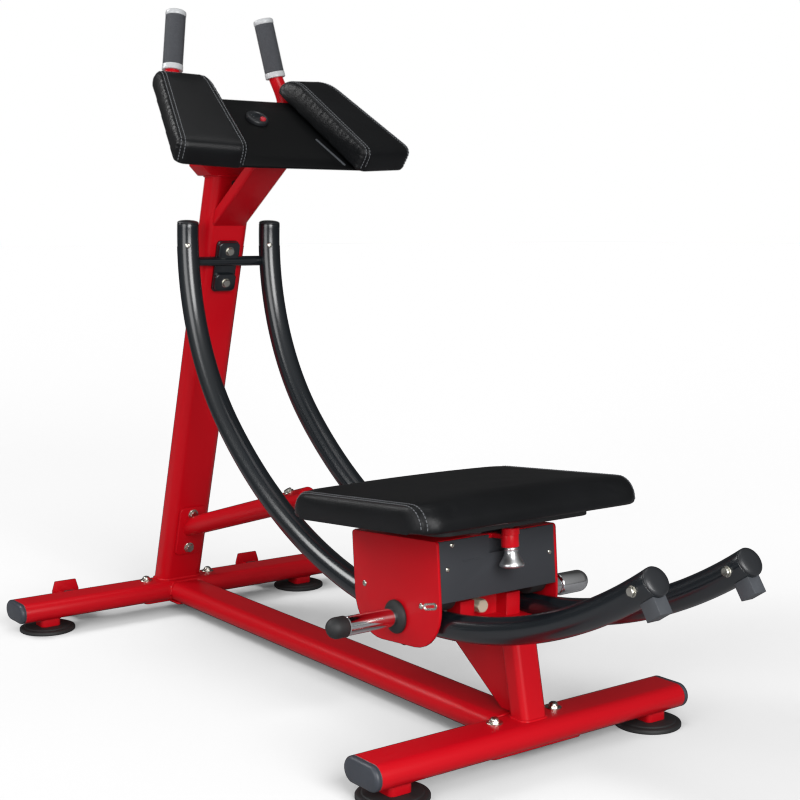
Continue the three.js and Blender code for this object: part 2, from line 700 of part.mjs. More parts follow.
function addDeckAndCover() {
  const inner = SIDE_PLATE.y - SIDE_PLATE.thickness - GAP;
  const half = SIDE_PLATE.length / 2;
  const { pinReach, width, housing, housingRadius } = TONGUE;
  const pinX = half + pinReach;
  const deckFront = half - COVER.thickness - GAP;
  const deck = block([-half, deckFront], [-inner, inner], [-DECK_THICKNESS, 0]);
  const tongue = block([deckFront - 10, pinX], [-width / 2, width / 2], [-DECK_THICKNESS, 0]);
  const pinHousing = cylinderAlong("z", housingRadius, -housing, 0, 24).translate(pinX, 0, 0);
  const bore = cylinderAlong("z", PIN_RADIUS + PIN_CLEARANCE, -60, 20, 16).translate(pinX, 0, 0);
  add(carriage, "carriage_deck", cut(join(deck, tongue, pinHousing), bore), RED);

  const face = block([half - COVER.thickness, half], [-inner, inner], [COVER.bottom, COVER.top]);
  const notch = block([half - 20, half + 20], [-COVER.notch / 2, COVER.notch / 2],
    [-COVER.notchDepth, 10]);
  add(carriage, "front_cover", cut(face, notch), GREY_COVER);

  const top = -housing - GAP;
  const pin = turned([
    [0, top - BELL.height],
    [BELL.mouthRadius, top - BELL.height],
    [BELL.mouthRadius, top - BELL.height + BELL.lip],
    [BELL.topRadius, top - BELL.neck],
    [BELL.topRadius, top],
    [PIN_RADIUS, top],
    [PIN_RADIUS, BELL.stem],
    [0, BELL.stem],
  ], 20);
  add(carriage, "pull_pin", pin, CHROME, [pinX, 0, 0]);
}

function addWeightPosts() {
  for (const [name, side] of Object.entries(SIDES)) {
    const place = [POST.x, 0, POST.z];
    const turn = [(side * -Math.PI) / 2, 0, 0];
    const start = SIDE_PLATE.y + GAP;
    const bar = cylinderAlong("z", POST.radius, start, POST.endY, 20);
    add(carriage, `weight_post_${name}`, bar, CHROME, place, turn);
    const collar = turned([
      [POST.radius + GAP, start],
      [POST.collarRadius, start],
      [POST.collarRadius, start + POST.collar - 4],
      [POST.collarRadius - 4, start + POST.collar],
      [POST.radius + GAP, start + POST.collar],
      [POST.radius + GAP, start],
    ]);
    add(carriage, `post_collar_${name}`, collar, RUBBER, place, turn);
    const material = name === "left" ? RUBBER : CHROME;
    add(carriage, `post_cap_${name}`, postCap(POST_CAPS[name]), material, place, turn);
  }
}

// A round-nosed cap over a weight post's end, along +Z.
function postCap({ radius, length }) {
  const foot = POST.endY + GAP;
  const nose = 6;
  const dome = Array.from({ length: nose }, (_, i) => {
    const angle = radians((90 * i) / nose);
    return [radius * Math.cos(angle), foot + length - radius + radius * Math.sin(angle)];
  });
  return turned([[0, foot], [radius - 2, foot], [radius, foot + 4], ...dome, [0, foot + length]]);
}

function addSeat() {
  const bearing = cylinderAlong("z", SWIVEL.radius, GAP, SWIVEL.height, 28);
  add(carriage, "swivel_bearing", bearing, BLACK_METAL, [SEAT.x, 0, 0]);
  const boardZ = SWIVEL.height + GAP;
  add(carriage, "seat_board", upright(roundedOutline(SEAT_BOARD.length, SEAT_BOARD.width,
    SEAT_BOARD.corner), SEAT_BOARD.thickness), DARK_PLASTIC, [SEAT.x, 0, boardZ]);
  add(carriage, "seat_pad", cushion(SEAT), LEATHER,
    [SEAT.x, 0, boardZ + SEAT_BOARD.thickness + GAP]);
}

// ---------- Transport wheels ----------
function addTransportWheels() {
  const { depth, top, shoulder, low, foot, crown, plate } = WHEEL_FORK;
  for (const [name, side] of Object.entries(SIDES)) {
    const y = side * WHEEL.y;
    const face = alongX(polygon([
      [y - foot / 2, low],
      [y + foot / 2, low],
      [y + foot / 2, shoulder],
      [y + crown / 2, top],
      [y - crown / 2, top],
      [y - foot / 2, shoulder],
    ]), -depth - plate, -depth);
    const cheeks = [-1, 1].map((end) => {
      const inner = y + end * (WHEEL.width / 2 + 2);
      return block([-depth - plate / 2, -BAR_WIDTH / 2 + 8],
        [Math.min(inner, inner + end * plate), Math.max(inner, inner + end * plate)], [low, shoulder]);
    });
    const holes = cylinderAlong("y", WHEEL.pinRadius + 0.3, y - 40, y + 40, 14)
      .translate(WHEEL.x, 0, WHEEL.z);
    add(group, `wheel_fork_${name}`, cut(join(face, ...cheeks), holes,
      crossbarTube(0, REAR_WIDTH, GAP)), RED);
    const tyre = cylinderAlong("y", WHEEL.radius, -WHEEL.width / 2, WHEEL.width / 2, 20);
    const axle = cylinderAlong("y", WHEEL.pinRadius, -WHEEL.width / 2 - 8, WHEEL.width / 2 + 8, 12);
    add(group, `transport_wheel_${name}`, join(tyre, axle), RUBBER, [WHEEL.x, y, WHEEL.z]);
  }
}

// ---------- Assembly ----------
addCrossbar("rear", 0, REAR_WIDTH, REAR_FOOT_Y);
addCrossbar("front", BASE_LENGTH, FRONT_WIDTH, FRONT_FOOT_Y);
addMainBeam();
addMast();
addHeadMount();
addBrace();
addStrut();
addCrossTie();
addFrontPost();
addRailSaddle();
addRails();
addTopBracket();
addHead();
addHandles();
addSidePlates();
addRollers();
addDeckAndCover();
addWeightPosts();
addSeat();
addTransportWheels();

group.updateMatrixWorld(true);
const bounds = new THREE.Box3().setFromObject(group, true);
group.position.x = -(bounds.min.x + bounds.max.x) / 2;

export default group;
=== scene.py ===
"""Ab crunch machine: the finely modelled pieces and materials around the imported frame."""
import math

import bmesh
import bpy
from mathutils import Matrix, Vector
from mathutils.bvhtree import BVHTree
from mathutils.kdtree import KDTree


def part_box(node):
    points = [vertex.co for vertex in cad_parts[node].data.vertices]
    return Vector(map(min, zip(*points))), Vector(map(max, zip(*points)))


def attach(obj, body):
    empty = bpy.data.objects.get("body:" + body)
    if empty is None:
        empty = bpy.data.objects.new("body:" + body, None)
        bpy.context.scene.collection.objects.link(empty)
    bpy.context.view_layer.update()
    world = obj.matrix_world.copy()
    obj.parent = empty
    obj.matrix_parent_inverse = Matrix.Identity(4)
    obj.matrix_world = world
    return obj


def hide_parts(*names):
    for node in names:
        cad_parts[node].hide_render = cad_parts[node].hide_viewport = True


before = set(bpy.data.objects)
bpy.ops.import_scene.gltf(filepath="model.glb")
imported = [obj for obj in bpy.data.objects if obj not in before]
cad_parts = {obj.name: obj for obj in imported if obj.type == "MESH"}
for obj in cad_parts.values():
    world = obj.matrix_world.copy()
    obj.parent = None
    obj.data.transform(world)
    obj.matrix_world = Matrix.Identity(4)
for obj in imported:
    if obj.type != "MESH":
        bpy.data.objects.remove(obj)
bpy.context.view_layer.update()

# ---------- Driving dimensions, in millimetres from the rear crossbar's axis ----------
MM = 0.001
SIDES = {"left": -1, "right": 1}
REAR_X = sum(corner.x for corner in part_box("rear_crossbar")) / 2
BASE_LENGTH = 1218
BAR = {"width": 90, "height": 42, "z": 49}
BEAM_Z = 46
MAST = {"depth": 54, "width": 102, "corner": 20, "foot_x": -10, "foot_z": 70, "lean": 16.25, "top": 984.7}
RAIL = {"x": 1056, "z": 1148, "radius": 929, "tube": 22.5, "y": 99, "front": -35}
RAIL_TOP = {"radius": 513, "change": 44, "end": 94}
END_BOLT_ANGLE = -33.4
TOP_SCREW_ANGLE = 89
HEAD = {"x": 421, "z": 1067, "tilt": 35}
CARRIAGE = {"x": 1017, "z": 358.5, "tilt": 4.5}
# the cushions' last four values are for the cloth and its seams
ARM_PAD = {"x": 424, "y": 172, "z": 1098.5, "length": 308, "width": 122, "thickness": 51, "corner": 18,
           "taper": 0.17, "toe": 13.5, "roll": 3.8, "front_fall": 17, "rear_fall": 45, "rear_reach": 72,
           "edge": 8, "voxel": 4, "pressure": 4, "cap": 4, "pucker": 0.9}
SEAT_PAD = {"x": 34, "z": 31.6, "length": 394, "width": 480, "thickness": 46, "corner": 42,
            "taper": 0.0, "front_fall": 36, "rear_fall": 36, "rear_reach": 36,
            "edge": 14, "voxel": 5, "pressure": 4, "cap": 6, "pucker": 0.3}
GRIP_FOOT = (246, 124, 1198)
GRIP_TOP = (229, 104, 1320)
SHARP = math.radians(35)


def at(x, y, z):
    """A point given in millimetres from the rear crossbar's axis, in the frame's metres."""
    return Vector((REAR_X + x * MM, y * MM, z * MM))


def turned(axis, degrees):
    return Matrix.Rotation(math.radians(degrees), 4, axis)


def inside(place, x, y, z):
    """A point given in millimetres in a local frame."""
    return place @ (Vector((x, y, z)) * MM)


def moved(x, y, z):
    """A move given in millimetres."""
    return Matrix.Translation(Vector((x, y, z)) * MM)


def tip(place, x, y, z):
    """A direction given in a local frame."""
    return place.to_3x3() @ Vector((x, y, z))


def ring_at(place, outline, level):
    """An outline in a local frame's XY plane, at a height in millimetres."""
    return [place @ Vector((a * MM, b * MM, level * MM)) for a, b in outline]


HEAD_FRAME = Matrix.Translation(at(HEAD["x"], 0, HEAD["z"])) @ turned("Y", HEAD["tilt"])
CARRIAGE_FRAME = Matrix.Translation(at(CARRIAGE["x"], 0, CARRIAGE["z"])) @ turned("Y", -CARRIAGE["tilt"])
MAST_FRAME = Matrix.Translation(at(MAST["foot_x"], 0, MAST["foot_z"])) @ turned("Y", MAST["lean"])
MAST_FORWARD = tip(MAST_FRAME, 1, 0, 0)
MAST_FACE = MAST["depth"] / 2 + 0.3
MAST_SLOPE = math.tan(math.radians(MAST["lean"]))
MAST_COSINE = math.cos(math.radians(MAST["lean"]))


def up_mast(height):
    """How far along the mast a height above the floor is."""
    return (height - MAST["foot_z"]) / MAST_COSINE


# ---------- Materials ----------
def linear(hex_colour):
    """A #RRGGBB colour as linear RGBA."""
    channels = [int(hex_colour[i : i + 2], 16) / 255 for i in (1, 3, 5)]
    return [c / 12.92 if c <= 0.04045 else ((c + 0.055) / 1.055) ** 2.4 for c in channels] + [1]


def map_range(tree, value, *ends):
    """A value mapped from the range of the first two ends to that of the last two."""
    node = tree.nodes.new("ShaderNodeMapRange")
    tree.links.new(value, node.inputs["Value"])
    for key, number in zip(("From Min", "From Max", "To Min", "To Max"), ends):
        node.inputs[key].default_value = number
    return node.outputs["Result"]


class Surface:
    """A procedural material: a Principled shader with its colour, roughness and bump patterns."""

    def __init__(self, name, colour, roughness, metallic=0.0, **sockets):
        self.material = bpy.data.materials.new(name)
        self.material.use_nodes = True
        self.tree = self.material.node_tree
        self.shader = self.tree.nodes["Principled BSDF"]
        self.colour = linear(colour)
        self.shader.inputs["Base Color"].default_value = self.colour
        self.shader.inputs["Roughness"].default_value = roughness
        self.shader.inputs["Metallic"].default_value = metallic
        for socket, value in sockets.items():
            self.shader.inputs[socket.replace("_", " ")].default_value = value
        self.place = self.tree.nodes.new("ShaderNodeTexCoord").outputs["Object"]
        self.height = None

    def pattern(self, kind, scale, stretch=(1, 1, 1), **settings):
        """A texture's value output, with its place stretched along the axes."""
        mapping = self.tree.nodes.new("ShaderNodeMapping")
        mapping.inputs["Scale"].default_value = stretch
        self.tree.links.new(self.place, mapping.inputs["Vector"])
        node = self.tree.nodes.new(kind)
        self.tree.links.new(mapping.outputs["Vector"], node.inputs["Vector"])
        node.inputs["Scale"].default_value = scale
        for key, value in settings.items():
            if hasattr(node, key):
                setattr(node, key, value)
            else:
                node.inputs[key].default_value = value
        return node.outputs["Distance" if kind == "ShaderNodeTexVoronoi" else 0]

    def spread(self, value, low, high, from_low=0.15, from_high=0.85):
        """A pattern's value, mapped to a range."""
        return map_range(self.tree, value, from_low, from_high, low, high)

    def vary_roughness(self, value, low, high):
        self.tree.links.new(self.spread(value, low, high), self.shader.inputs["Roughness"])

    def vary_colour(self, value, other, low=0.2, high=0.8):
        """Blends the base colour into another where the pattern is high."""
        mix = self.tree.nodes.new("ShaderNodeMix")
        mix.data_type = "RGBA"
        mix.inputs[6].default_value = self.shader.inputs["Base Color"].default_value
        mix.inputs[7].default_value = linear(other)
        self.tree.links.new(self.spread(value, 0, 1, low, high), mix.inputs[0])
        self.tree.links.new(mix.outputs[2], self.shader.inputs["Base Color"])

    def bump(self, value, strength, distance):
        node = self.tree.nodes.new("ShaderNodeBump")
        node.inputs["Strength"].default_value = strength
        node.inputs["Distance"].default_value = distance
        self.tree.links.new(value, node.inputs["Height"])
        if self.height:
            self.tree.links.new(self.height, node.inputs["Normal"])
        self.height = node.outputs["Normal"]
        self.tree.links.new(self.height, self.shader.inputs["Normal"])


def painted(name, colour, other, roughness, gloss=0.2):
    """Glossy powder coat: faint orange peel, and gloss that drifts a little."""
    s = Surface(name, colour, roughness, Specular_IOR_Level=gloss)
    drift = s.pattern("ShaderNodeTexNoise", 5, Detail=2)
    s.vary_colour(drift, other, 0.1, 0.9)
    s.vary_roughness(drift, roughness - 0.04, roughness + 0.06)
    s.bump(s.pattern("ShaderNodeTexNoise", 420, Detail=2), 0.06, 0.0004)
    return s.material


def moulded(name, colour, other, roughness, grain=900):
    """Moulded plastic or rubber with a fine eroded texture."""
    s = Surface(name, colour, roughness)
    drift = s.pattern("ShaderNodeTexNoise", 25, Detail=4)
    s.vary_colour(drift, other)
    s.vary_roughness(drift, roughness - 0.07, roughness + 0.08)
    s.bump(s.pattern("ShaderNodeTexNoise", grain, Detail=3), 0.22, 0.0004)
    return s.material


def plated(name, colour, roughness):
    """Bright plated steel with faint polishing marks."""
    s = Surface(name, colour, roughness, metallic=1.0)
    marks = s.pattern("ShaderNodeTexNoise", 60, stretch=(1, 8, 1), Detail=4)
    s.vary_roughness(marks, roughness * 0.9, roughness * 1.15)
    s.bump(marks, 0.01, 0.0001)
    return s.material


def leather(name, colour, other):
    """Synthetic leather: pebbled grain and soft creases, its colour darker in the creases as painted shade
    and lighter on the high spots as a painted sheen.
    """
    s = Surface(name, colour, 0.36, Specular_IOR_Level=0.22)
    grain = s.pattern("ShaderNodeTexVoronoi", 620, feature="DISTANCE_TO_EDGE")
    soft = s.pattern("ShaderNodeTexNoise", 14, Detail=5)
    # colour follows the creases: darker low down as painted shade, lighter on the high spots as a painted
    # sheen
    s.vary_colour(soft, other)
    s.vary_roughness(soft, 0.3, 0.4)
    s.bump(s.spread(grain, 0, 1, 0, 0.25), 0.22, 0.0004)
    s.bump(soft, 0.2, 0.003)
    return s.material


def foam_grip(name, colour, other):
    """Foam rubber with moulded diamonds, its colour darker in the grooves between them as painted shade."""
    s = Surface(name, colour, 0.75)
    cells = s.pattern("ShaderNodeTexVoronoi", 330, feature="DISTANCE_TO_EDGE")
    # darker towards each groove: painted shade
    s.vary_colour(cells, other, 0.02, 0.3)
    s.bump(s.spread(cells, 0, 1, 0, 0.2), 0.7, 0.0012)
    s.bump(s.pattern("ShaderNodeTexNoise", 1500, Detail=2), 0.25, 0.0004)
    return s.material


def thread(name, colour, other):
    s = Surface(name, colour, 0.7, Sheen_Weight=0.2)
    twist = s.pattern("ShaderNodeTexWave", 900, Distortion=1.5)
    s.vary_colour(twist, other)
    s.bump(twist, 0.4, 0.0003)
    return s.material


# each finish is a material with the name of its slot
RED = painted("frame_red_paint", "#C60C1A", "#BE0A18", 0.3), "frame_red"
BLACK = painted("rail_black_paint", "#10171D", "#0E1317", 0.22, 0.85), "rail_black"
PLATE_BLACK = painted("plate_black_paint", "#0B0C0D", "#08090A", 0.5, 0.15), "rail_black"
COVER = painted("cover_grey_paint", "#3B3D41", "#36383C", 0.5), "cover_grey"
CAP = moulded("cap_plastic_skin", "#3E424A", "#373B42", 0.4), "cap_plastic"
STOP = moulded("stop_plastic_skin", "#4A4D52", "#424549", 0.45), "cap_plastic"
PLUG = moulded("plug_plastic_skin", "#25272A", "#1F2124", 0.35), "cap_plastic"
RUBBER = moulded("black_rubber", "#1B1C1D", "#242526", 0.6), "rubber_black"
BOARD = moulded("board_skin", "#161718", "#202122", 0.65), "board"
BUTTON = moulded("button_red_skin", "#C8323C", "#B92A35", 0.35), "button_red"
CHROME = plated("bright_chrome", "#E3E4E6", 0.09), "chrome"
ZINC = plated("zinc_fastener", "#C9C7BE", 0.24), "chrome"
SILVER = moulded("silver_collar_skin", "#C4C6C8", "#BBBDBF", 0.3), "chrome"
BELL_METAL = plated("bell_nickel", "#EDEEEF", 0.3), "chrome"
BEIGE = moulded("beige_plated_nut", "#C9C1AB", "#BDB49D", 0.35), "chrome"
LEATHER = leather("pad_black_leather", "#0F1011", "#141517"), "pad_leather"
SEAM = thread("grey_thread", "#74777B", "#5F6266"), "grip_texture"
GRIP = foam_grip("grey_grip_foam", "#43454A", "#54565B"), "grip_texture"


# ---------- Mesh tools ----------
def mesh_object(name, verts, faces):
    mesh = bpy.data.meshes.new(name)
    mesh.from_pydata([tuple(v) for v in verts], [], faces)
    mesh.update()
    obj = bpy.data.objects.new(name, mesh)
    bpy.context.scene.collection.objects.link(obj)
    return obj


def tube_faces(base, rings, count, loop=False):
    """The faces round a number of rings of points, capped at both ends unless they close in a loop."""
    faces = []
    for r in range(rings if loop else rings - 1):
        a, b = base + r * count, base + (r + 1) % rings * count
        faces += [(a + i, a + (i + 1) % count, b + (i + 1) % count, b + i) for i in range(count)]
    if not loop:
        faces.append(tuple(reversed(range(base, base + count))))
        faces.append(tuple(range(base + (rings - 1) * count, base + rings * count)))
    return faces


def skin(name, rings, loop=False):
    """A tube through rings that all have the same number of points."""
    verts = [point for ring in rings for point in ring]
    obj = mesh_object(name, verts, tube_faces(0, len(rings), len(rings[0]), loop))
    outward(obj)
    return obj


def outward(obj):
    bm = bmesh.new()
    bm.from_mesh(obj.data)
    bmesh.ops.recalc_face_normals(bm, faces=bm.faces)
    bm.to_mesh(obj.data)
    bm.free()


def round_rect(width, height, radius, steps=8):
    """The outline of a rounded rectangle, as (a, b) pairs round its middle."""
    points = []
    for quarter, (sx, sy) in enumerate(((1, 1), (-1, 1), (-1, -1), (1, -1))):
        for i in range(steps + 1):
            angle = math.radians(90 * quarter + 90 * i / steps)
            points.append((sx * (width / 2 - radius) + radius * math.cos(angle),
                           sy * (height / 2 - radius) + radius * math.sin(angle)))
    return points


def circle(radius, count=40):
    angles = [2 * math.pi * i / count for i in range(count)]
    return [(radius * math.cos(angle), radius * math.sin(angle)) for angle in angles]


def hexagon(across, reach, count=48):
    """The outline of a hexagon whose corners are cut back to a reach."""
    points = []
    for i in range(count):
        angle = 2 * math.pi * i / count
        radius = min(reach, across / 2 / math.cos(angle % (math.pi / 3) - math.pi / 6))
        points.append((radius * math.cos(angle), radius * math.sin(angle)))
    return points


def shrunk(outline, amount):
    """An outline with every point moved inwards by about an amount."""
    half_a = max(abs(a) for a, b in outline)
    half_b = max(abs(b) for a, b in outline)
    return [(a * (1 - amount / half_a), b * (1 - amount / half_b)) for a, b in outline]


def along(points, outline, side=Vector((0, 1, 0)), rim=1.0):
    """Rings of an outline that follow points in space, with softened rims at both ends."""
    points = [Vector(p) for p in points]
    rings = []
    for i, point in enumerate(points):
        tangent = (points[min(i + 1, len(points) - 1)] - points[max(i - 1, 0)]).normalized()
        side = (side - tangent * side.dot(tangent)).normalized()
        up = tangent.cross(side)
        rings.append([point + (side * a + up * b) * MM for a, b in outline])
        if rim and i in (0, len(points) - 1):
            soft = []
            for share in (0.0, 0.3, 0.7):
                inner = shrunk(outline, rim * (1 - math.sin(share * math.pi / 2)))
                out = rim * math.cos(share * math.pi / 2) * (1 if i else -1)
                soft.append([point + (side * a + up * b) * MM + tangent * MM * out for a, b in inner])
            rings = soft + rings if i == 0 else rings + soft[::-1]
    return rings


def bar(name, start, end, outline, side=Vector((0, 1, 0)), rim=1.0):
    """A straight bar between two points, with its outline's first axis along side."""
    start, end = Vector(start), Vector(end)
    inset = (end - start).normalized() * rim * MM
    return skin(name, along([start + inset, end - inset], outline, side, rim))


def lathe(name, profile, place, count=48):
    """A body of revolution about the local Z axis, through (radius, height) pairs."""
    axis_radius = 0.02
    return skin(name, [ring_at(place, circle(max(radius, axis_radius), count), height)
                       for radius, height in profile])


def facing(point, direction):
    """A frame at a point whose Z axis looks along a direction."""
    turn = Vector(direction).to_track_quat("Z", "Y").to_matrix().to_4x4()
    return Matrix.Translation(point) @ turn


def applied(obj):
    """Bakes an object's modifiers into its mesh."""
    graph = bpy.context.evaluated_depsgraph_get()
    mesh = bpy.data.meshes.new_from_object(obj.evaluated_get(graph))
    obj.modifiers.clear()
    obj.data = mesh
    return obj


def remeshed(obj, voxel):
    mod = obj.modifiers.new("remesh", "REMESH")
    mod.mode = "VOXEL"
    mod.voxel_size = voxel * MM
    return applied(obj)


def bevelled(obj, width, segments=3):
    mod = obj.modifiers.new("bevel", "BEVEL")
    mod.width = width * MM
    mod.segments = segments
    mod.limit_method = "ANGLE"
    mod.angle_limit = math.radians(30)
    mod.use_clamp_overlap = True
    return applied(obj)


def carve(obj, *cutters):
    """Cuts other objects out of one and removes them."""
    for cutter in cutters:
        mod = obj.modifiers.new("cut", "BOOLEAN")
        mod.operation = "DIFFERENCE"
        mod.solver = "EXACT"
        mod.object = cutter
        applied(obj)
        bpy.data.objects.remove(cutter)
    return obj


def merged(name, *objects):
    """Several pieces as one mesh."""
    bm = bmesh.new()
    for obj in objects:
        bm.from_mesh(obj.data)
    mesh = bpy.data.meshes.new(name)
    bm.to_mesh(mesh)
    bm.free()
    for obj in objects:
        bpy.data.objects.remove(obj)
    made = bpy.data.objects.new(name, mesh)
    bpy.context.scene.collection.objects.link(made)
    return made


def slab(name, outline, place, low, high, bevel=0.8):
    """A plate with the given outline in its own XY plane, between two heights."""
    obj = skin(name, [ring_at(place, outline, low), ring_at(place, outline, high)])
    return bevelled(obj, bevel) if bevel else obj


def refined(node, bevel=1.2, segments=3):
    """A copy of a plain CAD solid with its edges rounded."""
    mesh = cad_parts[node].data.copy()
    obj = bpy.data.objects.new(node + "_fine", mesh)
    bpy.context.scene.collection.objects.link(obj)
    bm = bmesh.new()
    bm.from_mesh(mesh)
    bmesh.ops.remove_doubles(bm, verts=bm.verts, dist=1e-6)
    bmesh.ops.dissolve_limit(bm, angle_limit=math.radians(1), verts=bm.verts, edges=bm.edges)
    bm.to_mesh(mesh)
    bm.free()
    return bevelled(obj, bevel, segments)


def piece(obj, body, finish, *nodes, sharp=SHARP):
    """Gives a finished piece its material, smooth shading and body, and hides the CAD nodes it stands for.
    """
    material, slot_name = finish
    obj.data.materials.clear()
    obj.data.materials.append(material)
    for polygon in obj.data.polygons:
        polygon.use_smooth = True
    obj.data.set_sharp_from_angle(angle=sharp)
    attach(obj, body)
    if nodes:
        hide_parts(*nodes)
    return obj


# ---------- Fasteners and welds ----------
def washer(name, place, radius, rim, top, chamfer):
    return lathe(name, [(0, 0), (radius, 0), (radius, rim), (radius - chamfer, top), (0, top)], place)


def bolt(name, point, direction, across=15, height=7, washer_width=20, finish=ZINC):
    """A hex bolt head on a washer."""
    place = facing(point, direction)
    ring = washer(name + "_washer", place, washer_width / 2, 1.2, 1.8, 0.6)
    corner = across / 2 / math.cos(math.radians(30))
    rings = [ring_at(place, hexagon(across, reach), level)
             for reach, level in ((corner - 0.3, 1.8), (corner, 2.2), (corner, height - 1.4))]
    rings += [ring_at(place, circle(radius, 48), level)
              for radius, level in ((corner - 1.6, height), (0.5, height + 0.2))]
    return piece(merged(name, ring, skin(name + "_head", rings)), "frame", finish)


def acorn(name, point, direction, across=16, height=11, washer_width=28):
    """A domed cap nut on a wide washer."""
    place = facing(point, direction)
    ring = washer(name + "_washer", place, washer_width / 2, 1.4, 2.2, 0.7)
    radius, foot = across / 2 * 1.08, height / 2
    rings = [ring_at(place, hexagon(across, radius + more), level)
             for more, level in ((0.2, 2.2), (0.6, 2.8), (0.6, foot))]
    for i in range(9):
        angle = math.radians(10 * i + 5)
        dome = circle(across / 2 * math.cos(angle), 48)
        rings.append(ring_at(place, dome, foot + (height - foot) * math.sin(angle)))
    return piece(merged(name, ring, skin(name + "_nut", rings)), "frame", ZINC)


def screw(name, point, direction, body, radius=5.5, height=3, finish=ZINC):
    """A domed socket-head screw."""
    rim, socket_depth = 0.5, 1.6
    profile = [(radius, 0), (radius, rim)]
    for i in range(1, 6):
        angle = math.radians(15 * i)
        profile.append((radius * math.cos(angle) + 0.05, rim + (height - rim) * math.sin(angle)))
    profile += [(radius * 0.45, height), (radius * 0.42, height - socket_depth), (0, height - socket_depth)]
    return piece(lathe(name, profile, facing(point, direction), 36), body, finish)


def weld(name, points, radius, seed=0.0):
    """A rippled bead of weld that follows a closed line of points in space."""
    ripple, ripples_per_mm = 0.09, 1.7
    rings = []
    travelled = 0.0
    for i, point in enumerate(points):
        ahead = points[(i + 1) % len(points)]
        tangent = (ahead - points[i - 1]).normalized()
        travelled += (ahead - point).length
        upright = abs(tangent.z) > 0.95
        side = (tangent.orthogonal() if upright else tangent.cross(Vector((0, 0, 1)))).normalized()
        up = tangent.cross(side)
        size = radius * (1 + ripple * math.sin(travelled / MM * ripples_per_mm + seed)) * MM
        rings.append([point + side * size * a + up * size * b for a, b in circle(1, 10)])
    return piece(skin(name, rings, loop=True), "frame", RED, sharp=math.radians(80))


# ---------- Base ----------
ALONG_X = Vector((1, 0, 0))
BAR_END = BAR["height"] / 2
BAR_TOP = BAR["z"] + BAR_END
BAR_FLAT = (BAR["width"] - BAR["height"]) / 2


def flat_oval(grow=0.0):
    """The crossbars' section, grown on every side."""
    return round_rect(BAR["width"] + 2 * grow, BAR["height"] + 2 * grow, BAR_END + grow - 0.01, 12)


def crossbar_cutter(x):
    return bar("cutter", at(x, -420, BAR["z"]), at(x, 420, BAR["z"]), flat_oval(0.2), ALONG_X, 0)


def make_crossbar(name):
    low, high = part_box(f"{name}_crossbar")
    start = Vector(((low.x + high.x) / 2, low.y, BAR["z"] * MM))
    end = Vector((start.x, high.y, start.z))
    tube = bar(f"{name}_crossbar_tube", start, end, flat_oval(), ALONG_X, 0.6)
    piece(tube, "frame", RED, f"{name}_crossbar")
    for side_name, side in SIDES.items():
        make_foot(name, side_name)
        make_cap(name, side_name, side)


def make_foot(name, side_name):
    low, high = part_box(f"{name}_foot_{side_name}")
    place = Matrix.Translation(((low.x + high.x) / 2, (low.y + high.y) / 2, 0))
    reach, height = (high.x - low.x) / 2 / MM, high.z / MM
    disc = lathe(f"{name}_foot_pad_{side_name}", [
        (0, 0), (reach - 1.5, 0), (reach, 1.2), (reach, height - 5.5), (reach - 0.8, height - 4.2),
        (reach - 4, height - 2.8), (reach - 9, height - 2.4), (reach - 10, height - 0.8),
        (reach - 11.5, height), (0, height)], place, 72)
    piece(disc, "frame", RUBBER, f"{name}_foot_{side_name}")
    leg_offset, leg_width = 3, 44
    over = place @ moved(leg_offset, 0, 0)
    leg = slab(f"{name}_leg_{side_name}", round_rect(leg_width, leg_width, 10, 6), over, height + 0.2,
               BAR["z"] - 8, 1.0)
    piece(leg, "frame", RED)
    flat, climb = 0.02, 0.35
    bead = ring_at(over, round_rect(leg_width + 2, leg_width + 2, 11, 10), BAR["z"] - BAR_END + 0.6)
    for point in bead:
        point.z += max(0, abs(point.x - over.translation.x) - flat) * climb
    weld(f"{name}_leg_weld_{side_name}", bead, 2.2)


def make_cap(name, side_name, side):
    low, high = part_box(f"{name}_cap_{side_name}")
    inner = low.y if side > 0 else high.y
    centre = Vector(((low.x + high.x) / 2, inner, BAR["z"] * MM))
    depth = (high.y - low.y) / MM
    rounding = 7
    steps = [(0, 0), (0.3, 0.5), (1.2, 0.6), (2, 0)]
    for i in range(9):
        angle = math.radians(10 * i)
        out = depth - rounding + (rounding - 0.8) * math.sin(angle)
        steps.append((out, rounding * (1 - math.cos(angle))))
    steps += [(depth - 0.4, rounding + 3), (depth, rounding + 8)]
    rings = [[centre + Vector((a, side * out, b)) * MM for a, b in shrunk(flat_oval(), inset)]
             for out, inset in steps]
    shell = skin(f"{name}_end_cap_{side_name}", rings)
    piece(shell, "frame", CAP, f"{name}_cap_{side_name}", sharp=math.radians(60))


